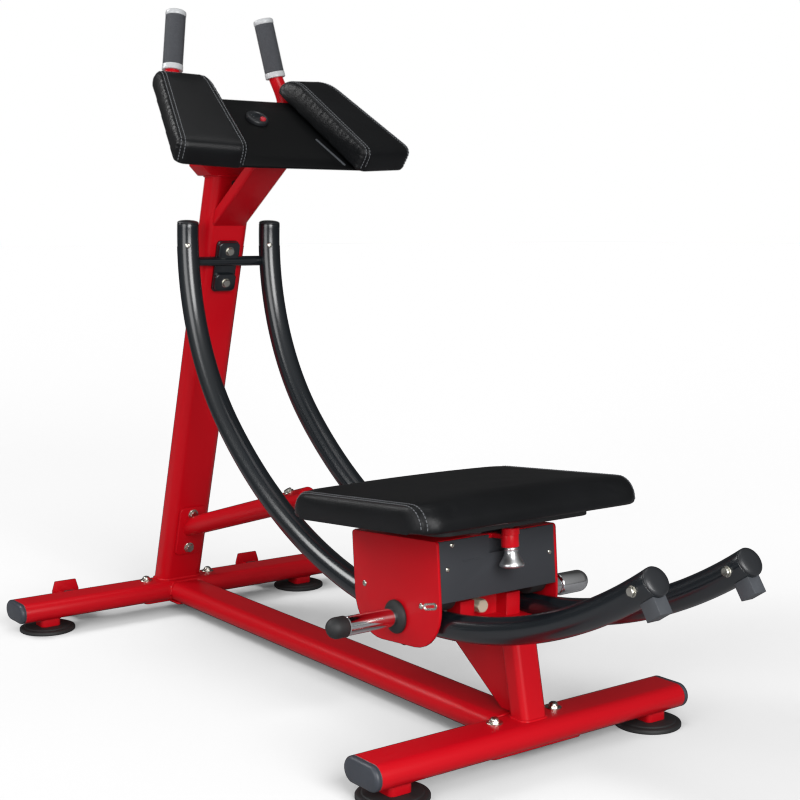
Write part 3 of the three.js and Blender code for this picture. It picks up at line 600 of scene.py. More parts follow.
def make_main_beam():
    beam = bar("main_beam_tube", at(24, 0, BEAM_Z), at(BASE_LENGTH - 24, 0, BEAM_Z), flat_oval(), rim=0)
    carve(beam, crossbar_cutter(0), crossbar_cutter(BASE_LENGTH))
    piece(beam, "frame", RED, "main_beam")
    plate_top, thickness, nut_offset = BAR["z"] - BAR_END - 0.3, 4, -9
    for name, x, way, spread in (("rear", 0, 1, 80), ("front", BASE_LENGTH, -1, 65)):
        plate = slab(f"{name}_base_plate", round_rect(52, 196, 8, 5), Matrix.Translation(at(x, 0, 0)),
                     plate_top - thickness, plate_top)
        tongue = slab("tongue", round_rect(60, 80, 6, 5), Matrix.Translation(at(x + way * 40, 0, 0)),
                      plate_top - 3.8, plate_top - 0.2)
        piece(merged(f"{name}_base_plate", plate, tongue), "frame", RED)
        bead = []
        for a, b in round_rect(BAR["width"] + 1, BAR["height"] + 1, BAR_END, 14):
            level = min(abs(BEAM_Z + b - BAR["z"]), 20.9)
            inset = math.sqrt(BAR_END**2 - level**2)
            bead.append(at(x + way * (BAR_FLAT + inset + 0.8), a, BEAM_Z + b))
        weld(f"{name}_beam_weld", bead, 2.6, seed=x)
        for side_name, side in SIDES.items():
            nut_x, nut_y = x + nut_offset, side * spread
            acorn(f"{name}_base_nut_{side_name}", at(nut_x, nut_y, BAR_TOP - 0.1), (0, 0, 1))
            under = at(nut_x, nut_y, plate_top - thickness)
            bolt(f"{name}_base_bolt_{side_name}", under, (0, 0, -1), 15, 5.5, 20)


# ---------- Mast, head mount, brace, strut ----------
def mast_cutter(grow=0.2):
    outline = round_rect(MAST["width"] + 2 * grow, MAST["depth"] + 2 * grow, MAST["corner"] + grow, 10)
    return bar("cutter", inside(MAST_FRAME, 0, 0, -100), inside(MAST_FRAME, 0, 0, 1300), outline, rim=0)


def on_mast(name, outline, up, thickness, bevel):
    """A plate that lies flat on the mast's front face, at a distance up the mast."""
    place = MAST_FRAME @ moved(MAST_FACE, 0, up) @ turned("Y", 90)
    return slab(name, outline, place, 0, thickness, bevel)


def mast_bolt(name, up, out, *sizes):
    """A bolt in front of the mast's face, at a distance up the mast."""
    bolt(name, inside(MAST_FRAME, MAST_FACE + out, 0, up), MAST_FORWARD, *sizes)


def mast_bead():
    """The outline of a weld round the mast where a level plane cuts it."""
    return round_rect(MAST["width"] + 1, MAST["depth"] / MAST_COSINE + 1, MAST["corner"], 14)


def cut_above(obj, height, *cutters):
    """Cuts a solid off level at a height, and carves other cutters out of it."""
    lid = slab("cutter", round_rect(2600, 600, 10), Matrix.Translation(at(600, 0, 0)), height, 1300, 0)
    return carve(obj, *cutters, lid)


def make_mast():
    outline = round_rect(MAST["width"], MAST["depth"], MAST["corner"], 12)
    top = inside(MAST_FRAME, 0, 0, up_mast(MAST["top"]) + 30)
    mast = bar("mast_tube", inside(MAST_FRAME, 0, 0, -30), top, outline, rim=0)
    cut_above(mast, MAST["top"], crossbar_cutter(0))
    piece(mast, "frame", RED, "mast")
    bead = []
    for a, b in mast_bead():
        level = BAR_TOP
        x = MAST["foot_x"] + b
        if abs(x) > BAR_FLAT:
            over = min(abs(x) - BAR_FLAT, BAR_END)
            level = BAR["z"] + math.sqrt(BAR_END**2 - over**2)
        bead.append(at(x + (level - MAST["foot_z"]) * MAST_SLOPE, a, level + 0.8))
    weld("mast_foot_weld", bead, 2.8)


def make_head_mount():
    for node in ("head_mount", "head_brace"):
        piece(refined(node, 2.0), "frame", RED, node)
    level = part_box("head_mount")[0].z / MM
    middle = MAST["foot_x"] + (level - MAST["foot_z"]) * MAST_SLOPE
    weld("mast_head_weld", [at(middle + b, a, level - 0.6) for a, b in mast_bead()], 2.4)
    hole = inside(MAST_FRAME, MAST["depth"] / 2, -2, 945)
    screw("mast_plug", hole, MAST_FORWARD, "frame", 6, 1.6, BOARD)


def make_strut():
    foot_height, run = 198.5, 494
    start = at(60, 0, foot_height)
    end = at(60 + run, 0, foot_height + run * math.tan(math.radians(16)))
    tube = bar("rail_strut_tube", start - (end - start) * 0.04, end, circle(21, 56), rim=0)
    tie_low, tie_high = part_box("rail_tie")
    tie_radius = (tie_high.z - tie_low.z) / 2 / MM
    tie_middle = (tie_low + tie_high) / 2

    def tie_bar(name, left, right, radius):
        ends = [Vector((tie_middle.x, y, tie_middle.z)) for y in (left, right)]
        return bar(name, *ends, circle(radius, 48), ALONG_X, 0)

    beyond = slab("cutter", round_rect(60, 120, 5), Matrix.Translation(tie_middle + Vector((0.03, 0, 0))),
                  -80, 80, 0)
    carve(tube, mast_cutter(), tie_bar("cutter", -0.2, 0.2, tie_radius + 0.1), beyond)
    up, flange_thickness = up_mast(foot_height), 8
    flange = on_mast("flange", round_rect(116, 64, 10, 8), up, flange_thickness, 1.2)
    piece(merged("rail_strut_tube", tube, flange), "frame", RED, "rail_strut")
    for name, offset in (("upper", 42), ("lower", -42)):
        mast_bolt(f"strut_bolt_{name}", up + offset, flange_thickness, 17, 8, 24)
    piece(tie_bar("rail_tie_tube", tie_low.y, tie_high.y, tie_radius), "frame", RED, "rail_tie")
    outwards = Vector((-0.25, -0.4, 0.88)).normalized()
    bolt("strut_end_bolt", start + (end - start) * 0.89 + outwards * 20.6 * MM, outwards, 15, 7, 21)


def make_front_post():
    post_x, post_top = 1191, 202.7
    slope = math.tan(math.radians(11.8))
    top = at(post_x, 0, post_top)
    post = bar("front_post_tube", top + Vector((slope, 0, -1)) * 0.16, top + Vector((-slope, 0, 1)) * 0.01,
               round_rect(52, 42, 12, 10), rim=0)
    cut_above(post, post_top, crossbar_cutter(BASE_LENGTH))
    piece(post, "frame", RED, "front_post")
    corners = [(1190, BAR["z"] + 20.5), (1155, BAR["z"] + 20.2), (966, 202.6), (1178, 202.6)]
    gusset = skin("post_gusset", [[at(x, y, z) for x, z in corners] for y in (-5, 5)])
    piece(bevelled(gusset, 1.2), "frame", RED)
    bead = [at(post_x + 27.2 + b * 1.02, a, BAR_TOP + 0.4) for a, b in round_rect(53, 43, 12, 12)]
    weld("post_foot_weld", bead, 2.6)


def make_rail_saddle():
    piece(refined("rail_saddle", 1.5), "frame", RED, "rail_saddle")
    bolt("saddle_bolt", at(1092, -15, 239), (1, 0, 0), 21, 26, 30, BEIGE)


# ---------- Rails ----------
def rail_point(side, degrees):
    """A point of a rail's centre line, by the angle from straight down towards the mast."""
    change = math.radians(RAIL_TOP["change"])
    long_arc = degrees < RAIL_TOP["change"]
    radius = RAIL["radius"] if long_arc else RAIL_TOP["radius"]
    offset = RAIL["radius"] - radius
    angle = math.radians(degrees)
    return at(RAIL["x"] - offset * math.sin(change) - radius * math.sin(angle), side * RAIL["y"],
              RAIL["z"] - offset * math.cos(change) - radius * math.cos(angle))


def rail_line(side, steps=150):
    """A rail's whole centre line, from its front end to its top end."""
    sweep = RAIL_TOP["end"] - RAIL["front"]
    return [rail_point(side, RAIL["front"] + sweep * i / steps) for i in range(steps + 1)]


def make_rails():
    outwards = Vector((0.87, -0.5, 0))
    for name, side in SIDES.items():
        points = rail_line(side)
        rail = skin(f"rail_{name}_tube", along(points, circle(RAIL["tube"], 48), rim=0.8))
        piece(rail, "frame", BLACK, f"rail_{name}")
        for end, point, inner in (("front", points[0], points[1]), ("top", points[-1], points[-2])):
            plug = lathe(f"rail_{end}_plug_{name}", [
                (0, 0.9), (21.6, 0.9), (22.3, 1.5), (22.3, 2.8), (21.4, 4.4), (18.5, 6.2), (13, 7.4), (7, 8),
                (0, 8.2)], facing(point, point - inner))
            piece(plug, "frame", PLUG, f"rail_{end}_cap_{name}", sharp=math.radians(50))
        screw(f"rail_top_screw_{name}",
              rail_point(side, TOP_SCREW_ANGLE) + outwards * (RAIL["tube"] - 0.3) * MM, outwards, "frame")
        for label, way in (("bolt", -1), ("nut", 1)):
            point = rail_point(side, END_BOLT_ANGLE) + Vector((0, way, 0)) * (RAIL["tube"] - 0.5) * MM
            bolt(f"rail_end_{label}_{name}", point, (0, way, 0), 13, 6.5, 17)
        piece(refined(f"end_stop_{name}", 2.5, 4), "frame", STOP, f"end_stop_{name}")


def make_top_bracket():
    up, lug_thickness = up_mast(804), 15.5
    parts = [on_mast("bracket_plate", round_rect(112, 52, 9, 8), up, 7, 1.2)]
    rod_x = inside(MAST_FRAME, MAST_FACE, 0, up).x + 12.6 * MM
    rod_y = sum(corner.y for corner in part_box("rail_top_bracket")) / 2
    ends = [Vector((rod_x, rod_y + way * 84 * MM, 806 * MM)) for way in (-1, 1)]
    parts.append(bar("bracket_rod", *ends, circle(10, 36), ALONG_X, 0))
    for name, offset in (("upper", 36), ("lower", -34)):
        lug = round_rect(38, 50, 10, 8)
        parts.append(on_mast(f"bracket_lug_{name}", lug, up + offset, lug_thickness, 3))
        mast_bolt(f"bracket_bolt_{name}", up + offset, lug_thickness - 0.3)
    piece(merged("rail_top_bracket_forging", *parts), "frame", BLACK, "rail_top_bracket")


# ---------- Head ----------
def make_head_plate():
    piece(refined("head_plate", 1.2), "frame", PLATE_BLACK, "head_plate")
    # raised light grey strips on the black plate: a painted highlight
    for name, side in SIDES.items():
        ends = [inside(HEAD_FRAME, x, side * y, 1.2) for x, y in ((20, 101), (115, 119))]
        rib = bar(f"plate_highlight_strip_{name}", *ends, round_rect(5, 3, 1.4, 5), tip(HEAD_FRAME, 0, 1, 0))
        piece(rib, "frame", STOP)


def on_head_plate(node):
    """A frame just above the head plate's face, at the middle of a CAD solid."""
    low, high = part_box(node)
    middle = HEAD_FRAME.inverted() @ ((low + high) / 2)
    return HEAD_FRAME @ Matrix.Translation((middle.x, middle.y, 0.3 * MM))


def make_counter():
    place, button_place = on_head_plate("counter_body"), on_head_plate("counter_button")
    body = lathe("counter_case", [
        (0, 0), (23.6, 0), (24, 0.5), (24, 5.8), (23.4, 7.2), (21.8, 8.3), (19.6, 8.9), (18.4, 8.6),
        (17.6, 7.4), (0, 7.2)], place, 64)
    carve(body, lathe("cutter", [(6.4, 2.7), (6.4, 19.7)], button_place, 32))
    piece(body, "frame", PLUG, "counter_body")
    button = lathe("counter_button_cap", [
        (0, 6.1), (5.9, 6.1), (6, 6.4), (6, 11.6), (5.6, 12.4), (4.6, 12.8), (2.5, 12.95), (0, 13)],
        button_place, 32)
    piece(button, "counter_button", BUTTON, "counter_button")
    window = slab("counter_window", round_rect(13, 20, 2, 5), place @ moved(-6, -1, 0) @ turned("Z", 8),
                  7.0, 8.0, 0.4)
    piece(window, "frame", BLACK)


# ---------- Handles ----------
def catmull(points, steps=14):
    """A smooth line through points."""
    points = [Vector(p) for p in points]
    padded = [2 * points[0] - points[1]] + points + [2 * points[-1] - points[-2]]
    line = []
    for a, b, c, d in zip(padded, padded[1:], padded[2:], padded[3:]):
        for i in range(steps):
            t = i / steps
            line.append(0.5 * (2 * b + (c - a) * t + (2 * a - 5 * b + 4 * c - d) * t**2
                               + (3 * b - a - 3 * c + d) * t**3))
    return line + [points[-1]]


def make_handles():
    for name, side in SIDES.items():
        foot = at(GRIP_FOOT[0], side * GRIP_FOOT[1], GRIP_FOOT[2])
        top = at(GRIP_TOP[0], side * GRIP_TOP[1], GRIP_TOP[2])
        route = catmull([
            at(258, side * 76, 1074), at(258, side * 122, 1080), at(257, side * 136, 1110),
            at(253, side * 139, 1152), foot, foot.lerp(top, 0.05)])
        tube = skin(f"handle_{name}_tube", along(route, circle(15, 40), Vector((1, 0, 0)), 0))
        piece(tube, "frame", RED, f"handle_{name}")
        length = (top - foot).length / MM
        place = facing(foot, top - foot)
        collar = lathe(f"grip_collar_{name}", [
            (15.2, -1.5), (20.5, -1.5), (21.5, -0.6), (21.5, 9), (20.8, 10.2), (19, 10.6), (15.2, 10.6)],
            place)
        piece(collar, "frame", SILVER)
        ribs = [(15.4, 10.8), (20.2, 10.8), (20.8, 11.6)]
        level = 13.0
        while level < length - 14:
            ribs += [(20.7, level), (20.9, level + 0.9), (20.45, level + 1.5), (20.45, level + 1.9)]
            level += 2.3
        ribs += [(20.6, length - 12.2), (20.1, length - 11.4), (15.4, length - 11.4)]
        grip = lathe(f"grip_{name}_sleeve", ribs, place, 56)
        piece(grip, "frame", GRIP, f"grip_{name}", sharp=math.radians(70))
        end = lathe(f"grip_end_{name}", [
            (15.4, length - 11.3), (20.8, length - 11.3), (21.4, length - 10.4), (21.4, length - 4.6),
            (20.6, length - 2.2), (18.4, length - 0.6), (14, length - 0.1), (0, length)], place)
        piece(end, "frame", SILVER)


# ---------- Cushions ----------
STITCH = {"radius": 0.7, "length": 5.2, "gap": 1.3, "rise": 0.05, "sides": 8}
# along a stitch: its share of the length, of the thread's radius, and how far it is raised
STITCH_SHAPE = ((0, 0.35, -0.6), (0.12, 0.85, 0.0), (0.5, 1.0, 0.25), (0.88, 0.85, 0.0), (1, 0.35, -0.6))


def side_profile(pad, pull, inset):
    """A cushion's outline in X and height, with long falls at both ends, drawn in by two amounts."""
    half = pad["length"] / 2 - pull
    top = pad["thickness"] - inset
    low = inset * 0.4
    front, rear, reach, foot = pad["front_fall"], pad["rear_fall"], pad["rear_reach"], 4
    arcs = ((half - front, top - front, front, front, 0), (reach - half, top - rear, reach, rear, 90),
            (foot - half, low + foot, foot, foot, 180), (half - foot, low + foot, foot, foot, 270))
    points = []
    for x, z, long, high, start in arcs:
        for i in range(10):
            angle = math.radians(start + 10 * i)
            points.append((x + long * math.cos(angle), z + high * math.sin(angle)))
    return points


def cushion_shell(name, pad):
    """The unswollen cushion: its side profile carried across the width, with flat side panels."""
    half, corner, edge = pad["width"] / 2, pad["corner"], pad["edge"]
    depths = [0, 0.4, 1.2, 2.4, 4, 6, 8, 11, 15] + [15 + (corner - 15) * i / 6 for i in range(1, 7)]
    rings = []
    for y in [-half + d for d in depths] + [half - d for d in reversed(depths)]:
        depth = half - abs(y)
        pull = corner - math.sqrt(corner**2 - max(0, corner - depth) ** 2)
        inset = edge - math.sqrt(edge**2 - max(0, edge - depth) ** 2)
        rings.append([Vector((x, y * flare(pad, x), z)) * MM for x, z in side_profile(pad, pull, inset)])
    return skin(name, rings)


def flare(pad, x):
    """How much wider than its middle a cushion is at X."""
    return 1 + pad["taper"] * x / (pad["length"] / 2)


def swell(obj, pad, seam_points):
    """Inflates a closed cushion as cloth, holding its underside and seams, and limits how far it moves."""
    remeshed(obj, pad["voxel"])
    start = [v.co.copy() for v in obj.data.vertices]
    held = obj.vertex_groups.new(name="held")
    tree = point_tree(seam_points)
    held_height, held_reach = 0.16 * pad["thickness"], 1.1 * pad["voxel"]
    for i, co in enumerate(start):
        if co.z / MM < held_height or tree.find(co)[2] < held_reach * MM:
            held.add([i], 1.0, "REPLACE")
    settings = obj.modifiers.new("cloth", "CLOTH").settings
    settings.use_pressure = True
    settings.uniform_pressure_force = pad["pressure"]
    settings.vertex_group_mass = "held"
    settings.mass = 0.3
    settings.tension_stiffness = 25
    settings.compression_stiffness = 25
    settings.shear_stiffness = 12
    settings.bending_stiffness = 2.0
    settings.effector_weights.gravity = 0
    scene = bpy.context.scene
    last_frame = 20
    for number in range(1, last_frame + 1):
        scene.frame_set(number)
    applied(obj)
    scene.frame_set(1)
    cap = pad["cap"] * MM
    for vertex, before in zip(obj.data.vertices, start):
        move = vertex.co - before
        if move.length > cap:
            vertex.co = before + move.normalized() * cap
    return obj


def point_tree(points):
    tree = KDTree(len(points))
    for i, point in enumerate(points):
        tree.insert(point, i)
    tree.balance()
    return tree


def subdivided(obj):
    mod = obj.modifiers.new("smooth", "SUBSURF")
    mod.levels = mod.render_levels = 1
    return applied(obj)


def surface_tree(obj):
    bpy.context.view_layer.update()
    return BVHTree.FromObject(obj, bpy.context.evaluated_depsgraph_get())


def on_surface(tree, points, directions):
    """Where rays from outside, against each direction, meet a mesh, with the normals there."""
    outside = 80 * MM
    hits = []
    for point, direction in zip(points, directions):
        place, normal, _, _ = tree.ray_cast(point + direction * outside, -direction)
        if place is not None:
            hits.append((place, normal))
    return hits


def stitches(name, hits, body):
    """Short capsules of thread laid along a line of surface points."""
    verts, faces = [], []
    distances = [0.0]
    for (a, _), (b, _) in zip(hits, hits[1:]):
        distances.append(distances[-1] + (b - a).length / MM)

    def sample(distance):
        """The surface point and normal at a distance along the line."""
        distance = max(0.0, min(distance, distances[-1] - 1e-6))
        k = max(i for i, d in enumerate(distances) if d <= distance)
        k = min(k, len(hits) - 2)
        t = (distance - distances[k]) / max(1e-9, distances[k + 1] - distances[k])
        return hits[k][0].lerp(hits[k + 1][0], t), hits[k][1].lerp(hits[k + 1][1], t).normalized()

    start = 0.0
    while start + STITCH["length"] < distances[-1]:
        base = len(verts)
        for share, size, lift in STITCH_SHAPE:
            along_line = start + STITCH["length"] * share
            point, normal = sample(along_line)
            ahead, _ = sample(along_line + 0.5)
            side = (ahead - point).normalized().cross(normal).normalized()
            centre = point + normal * (lift + STITCH["rise"]) * STITCH["radius"] * MM
            radius = STITCH["radius"] * size * MM
            verts += [centre + (side * a + normal * b) * radius for a, b in circle(1, STITCH["sides"])]
        faces += tube_faces(base, len(STITCH_SHAPE), STITCH["sides"])
        start += STITCH["length"] + STITCH["gap"]
    obj = mesh_object(name, verts, faces)
    outward(obj)
    return piece(obj, body, SEAM, sharp=math.radians(80))


def seam_route(pad, place, side, inset):
    """Rays for a seam that runs up one end of a cushion, along its long edge and down the other end."""
    thickness, rear, front = pad["thickness"], pad["rear_reach"], pad["front_fall"]
    reach = pad["length"] / 2 - 2
    foot = 0.14 * thickness

    def climb(way, fall, drop):
        """An end's part of the route, from its foot up to its top edge."""
        level = max(thickness - drop, foot + 1)
        turn = 90 - 90 * way
        part = [(way * (reach - 6), foot + (level - foot) * i / 8, turn) for i in range(8)]
        return part + [(way * (reach - fall), level, turn + way * 7.5 * i) for i in range(13)]

    spots = climb(-1, rear, pad["rear_fall"])
    for i in range(1, 60):
        spots.append((rear - reach + (2 * reach - rear - front) * i / 60, thickness / 2, 90))
    spots += climb(1, front, front)[::-1]
    points, directions = [], []
    for x, z, angle in spots:
        direction = Vector((math.cos(math.radians(angle)), 0, math.sin(math.radians(angle))))
        outer = max(-reach, min(reach, x + direction.x * (front if x > 0 else rear)))
        points.append(inside(place, x, side * (pad["width"] / 2 * flare(pad, outer) - inset), z))
        directions.append(tip(place, *direction).normalized())
    return points, directions


def press_seam(obj, line, pucker):
    """Draws the surface in along a seam, with short creases across it on the side panel."""
    width, depth, crease_middle, crease_width = 2.2, 1.2, 9, 8
    places = [point for point, _ in line]
    travelled = [0.0]
    for a, b in zip(places, places[1:]):
        travelled.append(travelled[-1] + (b - a).length / MM)
    tree = point_tree(places)
    normals = [v.normal.copy() for v in obj.data.vertices]
    for vertex, normal in zip(obj.data.vertices, normals):
        _, index, distance = tree.find(vertex.co)
        distance /= MM
        panel = max(0.0, abs(normal.y) - 0.5) * 2
        crease = pucker * panel * math.sin(travelled[index] * 0.42) * math.sin(travelled[index] * 0.097 + 1)
        sink = depth * math.exp(-((distance / width) ** 2))
        sink += crease * math.exp(-(((distance - crease_middle) / crease_width) ** 2))
        vertex.co -= normal * sink * MM


def make_cushion(name, pad, place, body, node, seams):
    """A cushion, swollen and seamed while it lies flat, then moved to its place."""
    flat = Matrix()
    obj = cushion_shell(name, pad)
    tree = surface_tree(obj)
    seam_points = []
    for _, side, inset in seams:
        seam_points += [point for point, _ in on_surface(tree, *seam_route(pad, flat, side, inset))]
    swell(obj, pad, seam_points)
    subdivided(obj)
    for _, side, inset in seams:
        press_seam(obj, on_surface(surface_tree(obj), *seam_route(pad, flat, side, inset)), pad["pucker"])
    obj.data.transform(place)
    piece(obj, body, LEATHER, node, sharp=math.radians(70))
    tree = surface_tree(obj)
    for label, side, inset in seams:
        for row, offset in (("outer", -3.4), ("inner", 3.6)):
            line = on_surface(tree, *seam_route(pad, place, side, inset + offset))
            stitches(f"{name}_stitch_{label}_{row}", line, body)


def make_arm_pads():
    for name, side in SIDES.items():
        place = (Matrix.Translation(at(ARM_PAD["x"], side * ARM_PAD["y"], ARM_PAD["z"]))
                 @ turned("Z", side * ARM_PAD["toe"]) @ turned("Y", HEAD["tilt"])
                 @ turned("X", side * ARM_PAD["roll"]) @ moved(0, 0, -ARM_PAD["thickness"] / 2))
        make_cushion(f"arm_pad_{name}_cushion", ARM_PAD, place, "frame", f"arm_pad_{name}",
                     (("outer", side, 11), ("inner", -side, 11)))


def make_seat():
    place = CARRIAGE_FRAME @ moved(SEAT_PAD["x"], 0, SEAT_PAD["z"])
    make_cushion("seat_cushion", SEAT_PAD, place, "seat", "seat_pad", (("left", -1, 12), ("right", 1, 12)))
    piece(refined("seat_board", 1.5), "seat", BOARD, "seat_board")
    piece(refined("swivel_bearing", 1.0), "seat", BLACK, "swivel_bearing")


# ---------- Carriage ----------
SIDE_FACE = 131
COVER_FACE = 121


def span(node):
    """A CAD solid's middle in metres, with its size along Y and half its size along X in millimetres."""
    low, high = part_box(node)
    return (low + high) / 2, (high.y - low.y) / MM, (high.x - low.x) / 2 / MM


def make_side_plates():
    for name, side in SIDES.items():
        piece(refined(f"side_plate_{name}", 1.0), "carriage", RED, f"side_plate_{name}")
        out = tip(CARRIAGE_FRAME, 0, side, 0)
        for label, x, z in (("rear", 935, 260), ("front", 1097, 253)):
            screw(f"side_screw_{label}_{name}", at(x, side * SIDE_FACE, z), out, "carriage", 5.5, 2.8)
        place = facing(at(1122, side * SIDE_FACE, 257.5), out)
        lengthwise = place.inverted().to_3x3() @ tip(CARRIAGE_FRAME, 1, 0, 0.16)
        place = place @ turned("Z", math.degrees(math.atan2(lengthwise.y, lengthwise.x)))
        for label, long, wide, rise, finish in (("rim", 36, 12, 1.2, ZINC), ("slot", 24, 5, 1.6, RED)):
            outline = round_rect(long, wide, wide / 2 - 0.1, 8)
            piece(slab(f"side_{label}_{name}", outline, place, -0.2, rise, 0.4), "carriage", finish)


def make_cover():
    piece(refined("front_cover", 0.8), "carriage", COVER, "front_cover")
    for label, y, z in (("a", -99.6, -9), ("b", -111, -48), ("c", 114, -48)):
        point = inside(CARRIAGE_FRAME, COVER_FACE, y, z)
        screw(f"cover_screw_{label}", point, tip(CARRIAGE_FRAME, 1, 0, 0), "carriage", 4.2, 2.2)
    rib = moved(COVER_FACE, -58.5, -38), round_rect(3, 40, 1.4, 6), -0.2, 0.7
    backing = moved(COVER_FACE - 8, 0, -21.5), round_rect(26, 52, 2, 4), -0.8, 0.8
    for label, (move, outline, low, high) in {"rib": rib, "backing": backing}.items():
        plate = slab(f"cover_{label}", outline, CARRIAGE_FRAME @ move @ turned("Y", 90), low, high, 0.3)
        piece(plate, "carriage", COVER)


def make_deck():
    piece(refined("carriage_deck", 1.2), "carriage", RED, "carriage_deck")


def make_pull_pin():
    low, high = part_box("pull_pin")
    local = CARRIAGE_FRAME.inverted() @ ((low + high) / 2)
    place = CARRIAGE_FRAME @ Matrix.Translation((local.x, 0, 0))
    pin = lathe("pull_pin_bell", [
        (0, -54.3), (17.5, -54.3), (20, -53.6), (21, -51.8), (20.8, -49.4), (19, -46), (15.8, -41),
        (13.2, -36), (11.8, -32), (11, -29.4), (11, -28.2), (12, -27.4), (12, -25.6), (11, -24.8),
        (11, -22.4), (10.2, -21.4), (6, -21.4), (6, 11), (5, 12), (0, 12)], place, 56)
    piece(pin, "pull_pin", BELL_METAL, "pull_pin", sharp=math.radians(50))
    sleeve = lathe("pull_pin_sleeve", [
        (6.8, 0.2), (15, 0.2), (15, 10), (14, 11), (6.8, 11)], place, 40)
    piece(sleeve, "carriage", RED)


def make_weight_posts():
    for name, side in SIDES.items():
        centre, length, radius = span(f"weight_post_{name}")
        inner = abs(centre.y) / MM - length / 2
        place = facing(Vector((centre.x, side * inner * MM, centre.z)), (0, side, 0))
        post = lathe(f"weight_post_{name}_bar", [
            (0, 0), (radius - 0.4, 0), (radius, 0.5), (radius, length - 1.2), (radius - 1, length),
            (0, length)], place)
        piece(post, "carriage", CHROME, f"weight_post_{name}")
        _, width, outer = span(f"post_collar_{name}")
        collar = lathe(f"post_collar_{name}_ring", [
            (radius + 0.2, 0), (outer - 1.5, 0), (outer, 1.5), (outer, width * 0.45),
            (outer - 1.2, width * 0.62), (outer - 4.5, width * 0.8), (outer - 7, width * 0.92),
            (radius + 3, width), (radius + 0.2, width - 0.6)], place)
        piece(collar, "carriage", RUBBER, f"post_collar_{name}")
        middle, reach, wide = span(f"post_cap_{name}")
        foot = abs(middle.y) / MM - reach / 2 - inner
        profile = [(0, foot), (wide - 2.5, foot), (wide - 0.8, foot + 1.4), (wide, foot + 4)]
        for i in range(12):
            angle = math.radians(7.5 * i + 1)
            profile.append((wide * math.cos(angle), foot + reach - wide + wide * math.sin(angle)))
        profile.append((0, foot + reach))
        piece(lathe(f"post_cap_{name}_knob", profile, place), "carriage",
              RUBBER if name == "left" else CHROME, f"post_cap_{name}", sharp=math.radians(60))


def make_rollers():
    for name in SIDES:
        for kind in ("upper_rear", "upper_front", "lower"):
            node = f"roller_{kind}_{name}"
            centre, width, radius = span(node)
            place = facing(centre - Vector((0, width / 2 * MM, 0)), (0, 1, 0))
            tyre = lathe(f"{node}_tyre", [
                (6.4, 0.4), (radius - 3.2, 0), (radius - 1, 1), (radius, 3), (radius, width - 3),
                (radius - 1, width - 1), (radius - 3.2, width), (6.4, width - 0.4)], place)
            piece(tyre, node, RUBBER, node)


# ---------- Transport wheels ----------
def make_transport_wheels():
    for name in SIDES:
        piece(refined(f"wheel_fork_{name}", 1.5), "frame", RED, f"wheel_fork_{name}")
        centre, _, radius = span(f"transport_wheel_{name}")
        half = [(radius, 9), (radius - 2, 11), (16.5, 11), (15.5, 9.4), (14.5, 9.4), (13, 11), (4, 11),
                (4, 18.6), (3.6, 19), (0, 19)]
        profile = [(reach, -level) for reach, level in reversed(half)] + half
        wheel = lathe(f"transport_wheel_{name}_tyre", profile, facing(centre, (0, 1, 0)))
        piece(wheel, f"transport_wheel_{name}", RUBBER, f"transport_wheel_{name}")


# ---------- Camera, light and floor ----------
CAMERA = {"x": 2962.1, "y": -1563.8, "z": 876.3, "lens": 65.32, "pitch": 0.118, "yaw": 0.640}
# each light's place in metres, size and power
LIGHTS = {
    "key": ((3.2, -0.9, 1.6), 2.0, 106),
    "side": ((0.7, -3.3, 1.4), 2.0, 38),
    "top": ((-0.2, 0.2, 3.4), 1.4, 9),
    "back": ((-2.0, -1.7, 2.3), 1.2, 34),
}
WHITE = (1, 1, 1, 1)


def make_camera(scene):
    scene.view_settings.view_transform = "Standard"
    scene.view_settings.look = "None"
    camera = bpy.data.objects.new("camera", bpy.data.cameras.new("camera"))
    scene.collection.objects.link(camera)
    scene.camera = camera
    camera.data.lens = CAMERA["lens"]
    camera.data.sensor_width = 36
    camera.data.clip_end = 100
    camera.location = at(CAMERA["x"], CAMERA["y"], CAMERA["z"])
    level, yaw = math.cos(CAMERA["pitch"]), CAMERA["yaw"]
    looking = Vector((-math.cos(yaw) * level, math.sin(yaw) * level, -math.sin(CAMERA["pitch"])))
    camera.rotation_euler = looking.to_track_quat("-Z", "Y").to_euler()


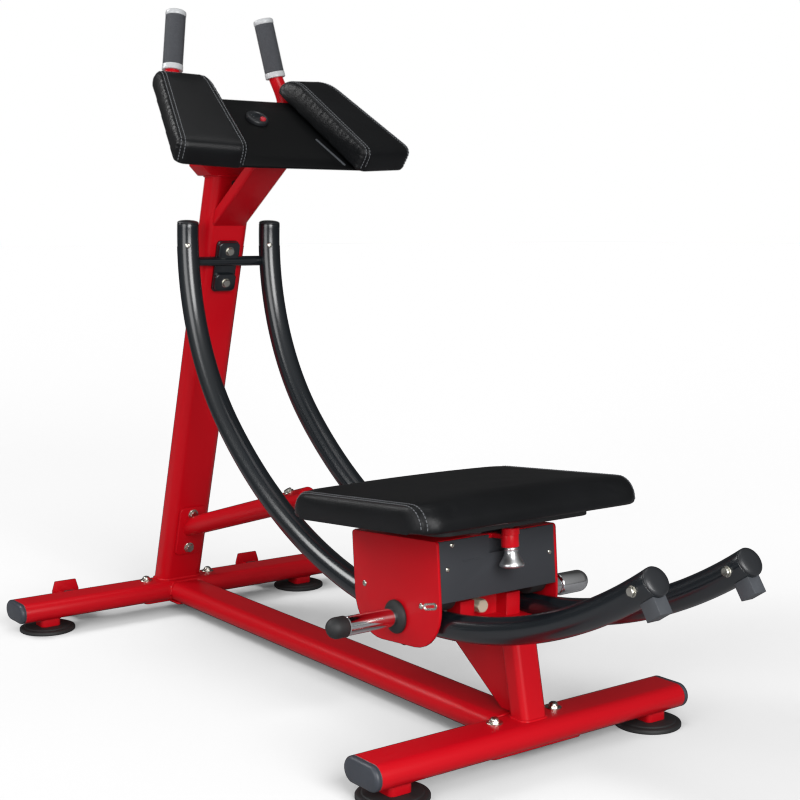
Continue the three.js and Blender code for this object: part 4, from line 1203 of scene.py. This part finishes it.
def make_surroundings(scene):
    """A white background, and surroundings that are bright in front of the machine and dark behind it."""
    world = bpy.data.worlds.new("studio")
    scene.world = world
    world.use_nodes = True
    nodes, links = world.node_tree.nodes, world.node_tree.links
    around = nodes["Background"]
    around.inputs["Color"].default_value = WHITE
    toward = nodes.new("ShaderNodeVectorMath")
    toward.operation = "DOT_PRODUCT"
    toward.inputs[1].default_value = (0.75, -0.6, 0.25)
    links.new(nodes.new("ShaderNodeTexCoord").outputs["Generated"], toward.inputs[0])
    strength = map_range(world.node_tree, toward.outputs["Value"], -0.5, 0.9, 0.05, 0.42)
    links.new(strength, around.inputs["Strength"])
    behind = nodes.new("ShaderNodeBackground")
    behind.inputs["Color"].default_value = WHITE
    mix = nodes.new("ShaderNodeMixShader")
    links.new(nodes.new("ShaderNodeLightPath").outputs["Is Camera Ray"], mix.inputs[0])
    links.new(around.outputs[0], mix.inputs[1])
    links.new(behind.outputs[0], mix.inputs[2])
    links.new(mix.outputs[0], nodes["World Output"].inputs["Surface"])


def make_lights(scene):
    target = Vector((0, 0, 0.5))
    for name, (place, size, power) in LIGHTS.items():
        light = bpy.data.lights.new(name, "AREA")
        light.size = size
        light.energy = power
        obj = bpy.data.objects.new(name, light)
        scene.collection.objects.link(obj)
        obj.location = place
        obj.rotation_euler = (target - Vector(place)).to_track_quat("-Z", "Y").to_euler()


def make_floor():
    floor = mesh_object("floor", [(-60, -60, 0), (60, -60, 0), (60, 60, 0), (-60, 60, 0)], [(0, 1, 2, 3)])
    paper = Surface("floor_paper", "#9A9A9C", 0.9)
    paper.vary_roughness(paper.pattern("ShaderNodeTexNoise", 3, Detail=2), 0.85, 0.95)
    floor.data.materials.append(paper.material)
    floor.is_shadow_catcher = True


# ---------- Everything ----------
make_camera(bpy.context.scene)
make_surroundings(bpy.context.scene)
make_lights(bpy.context.scene)
make_floor()
make_crossbar("rear")
make_crossbar("front")
make_main_beam()
make_mast()
make_head_mount()
make_strut()
make_front_post()
make_rail_saddle()
make_rails()
make_top_bracket()
make_head_plate()
make_counter()
make_handles()
make_arm_pads()
make_side_plates()
make_cover()
make_deck()
make_pull_pin()
make_weight_posts()
make_rollers()
make_seat()
make_transport_wheels()
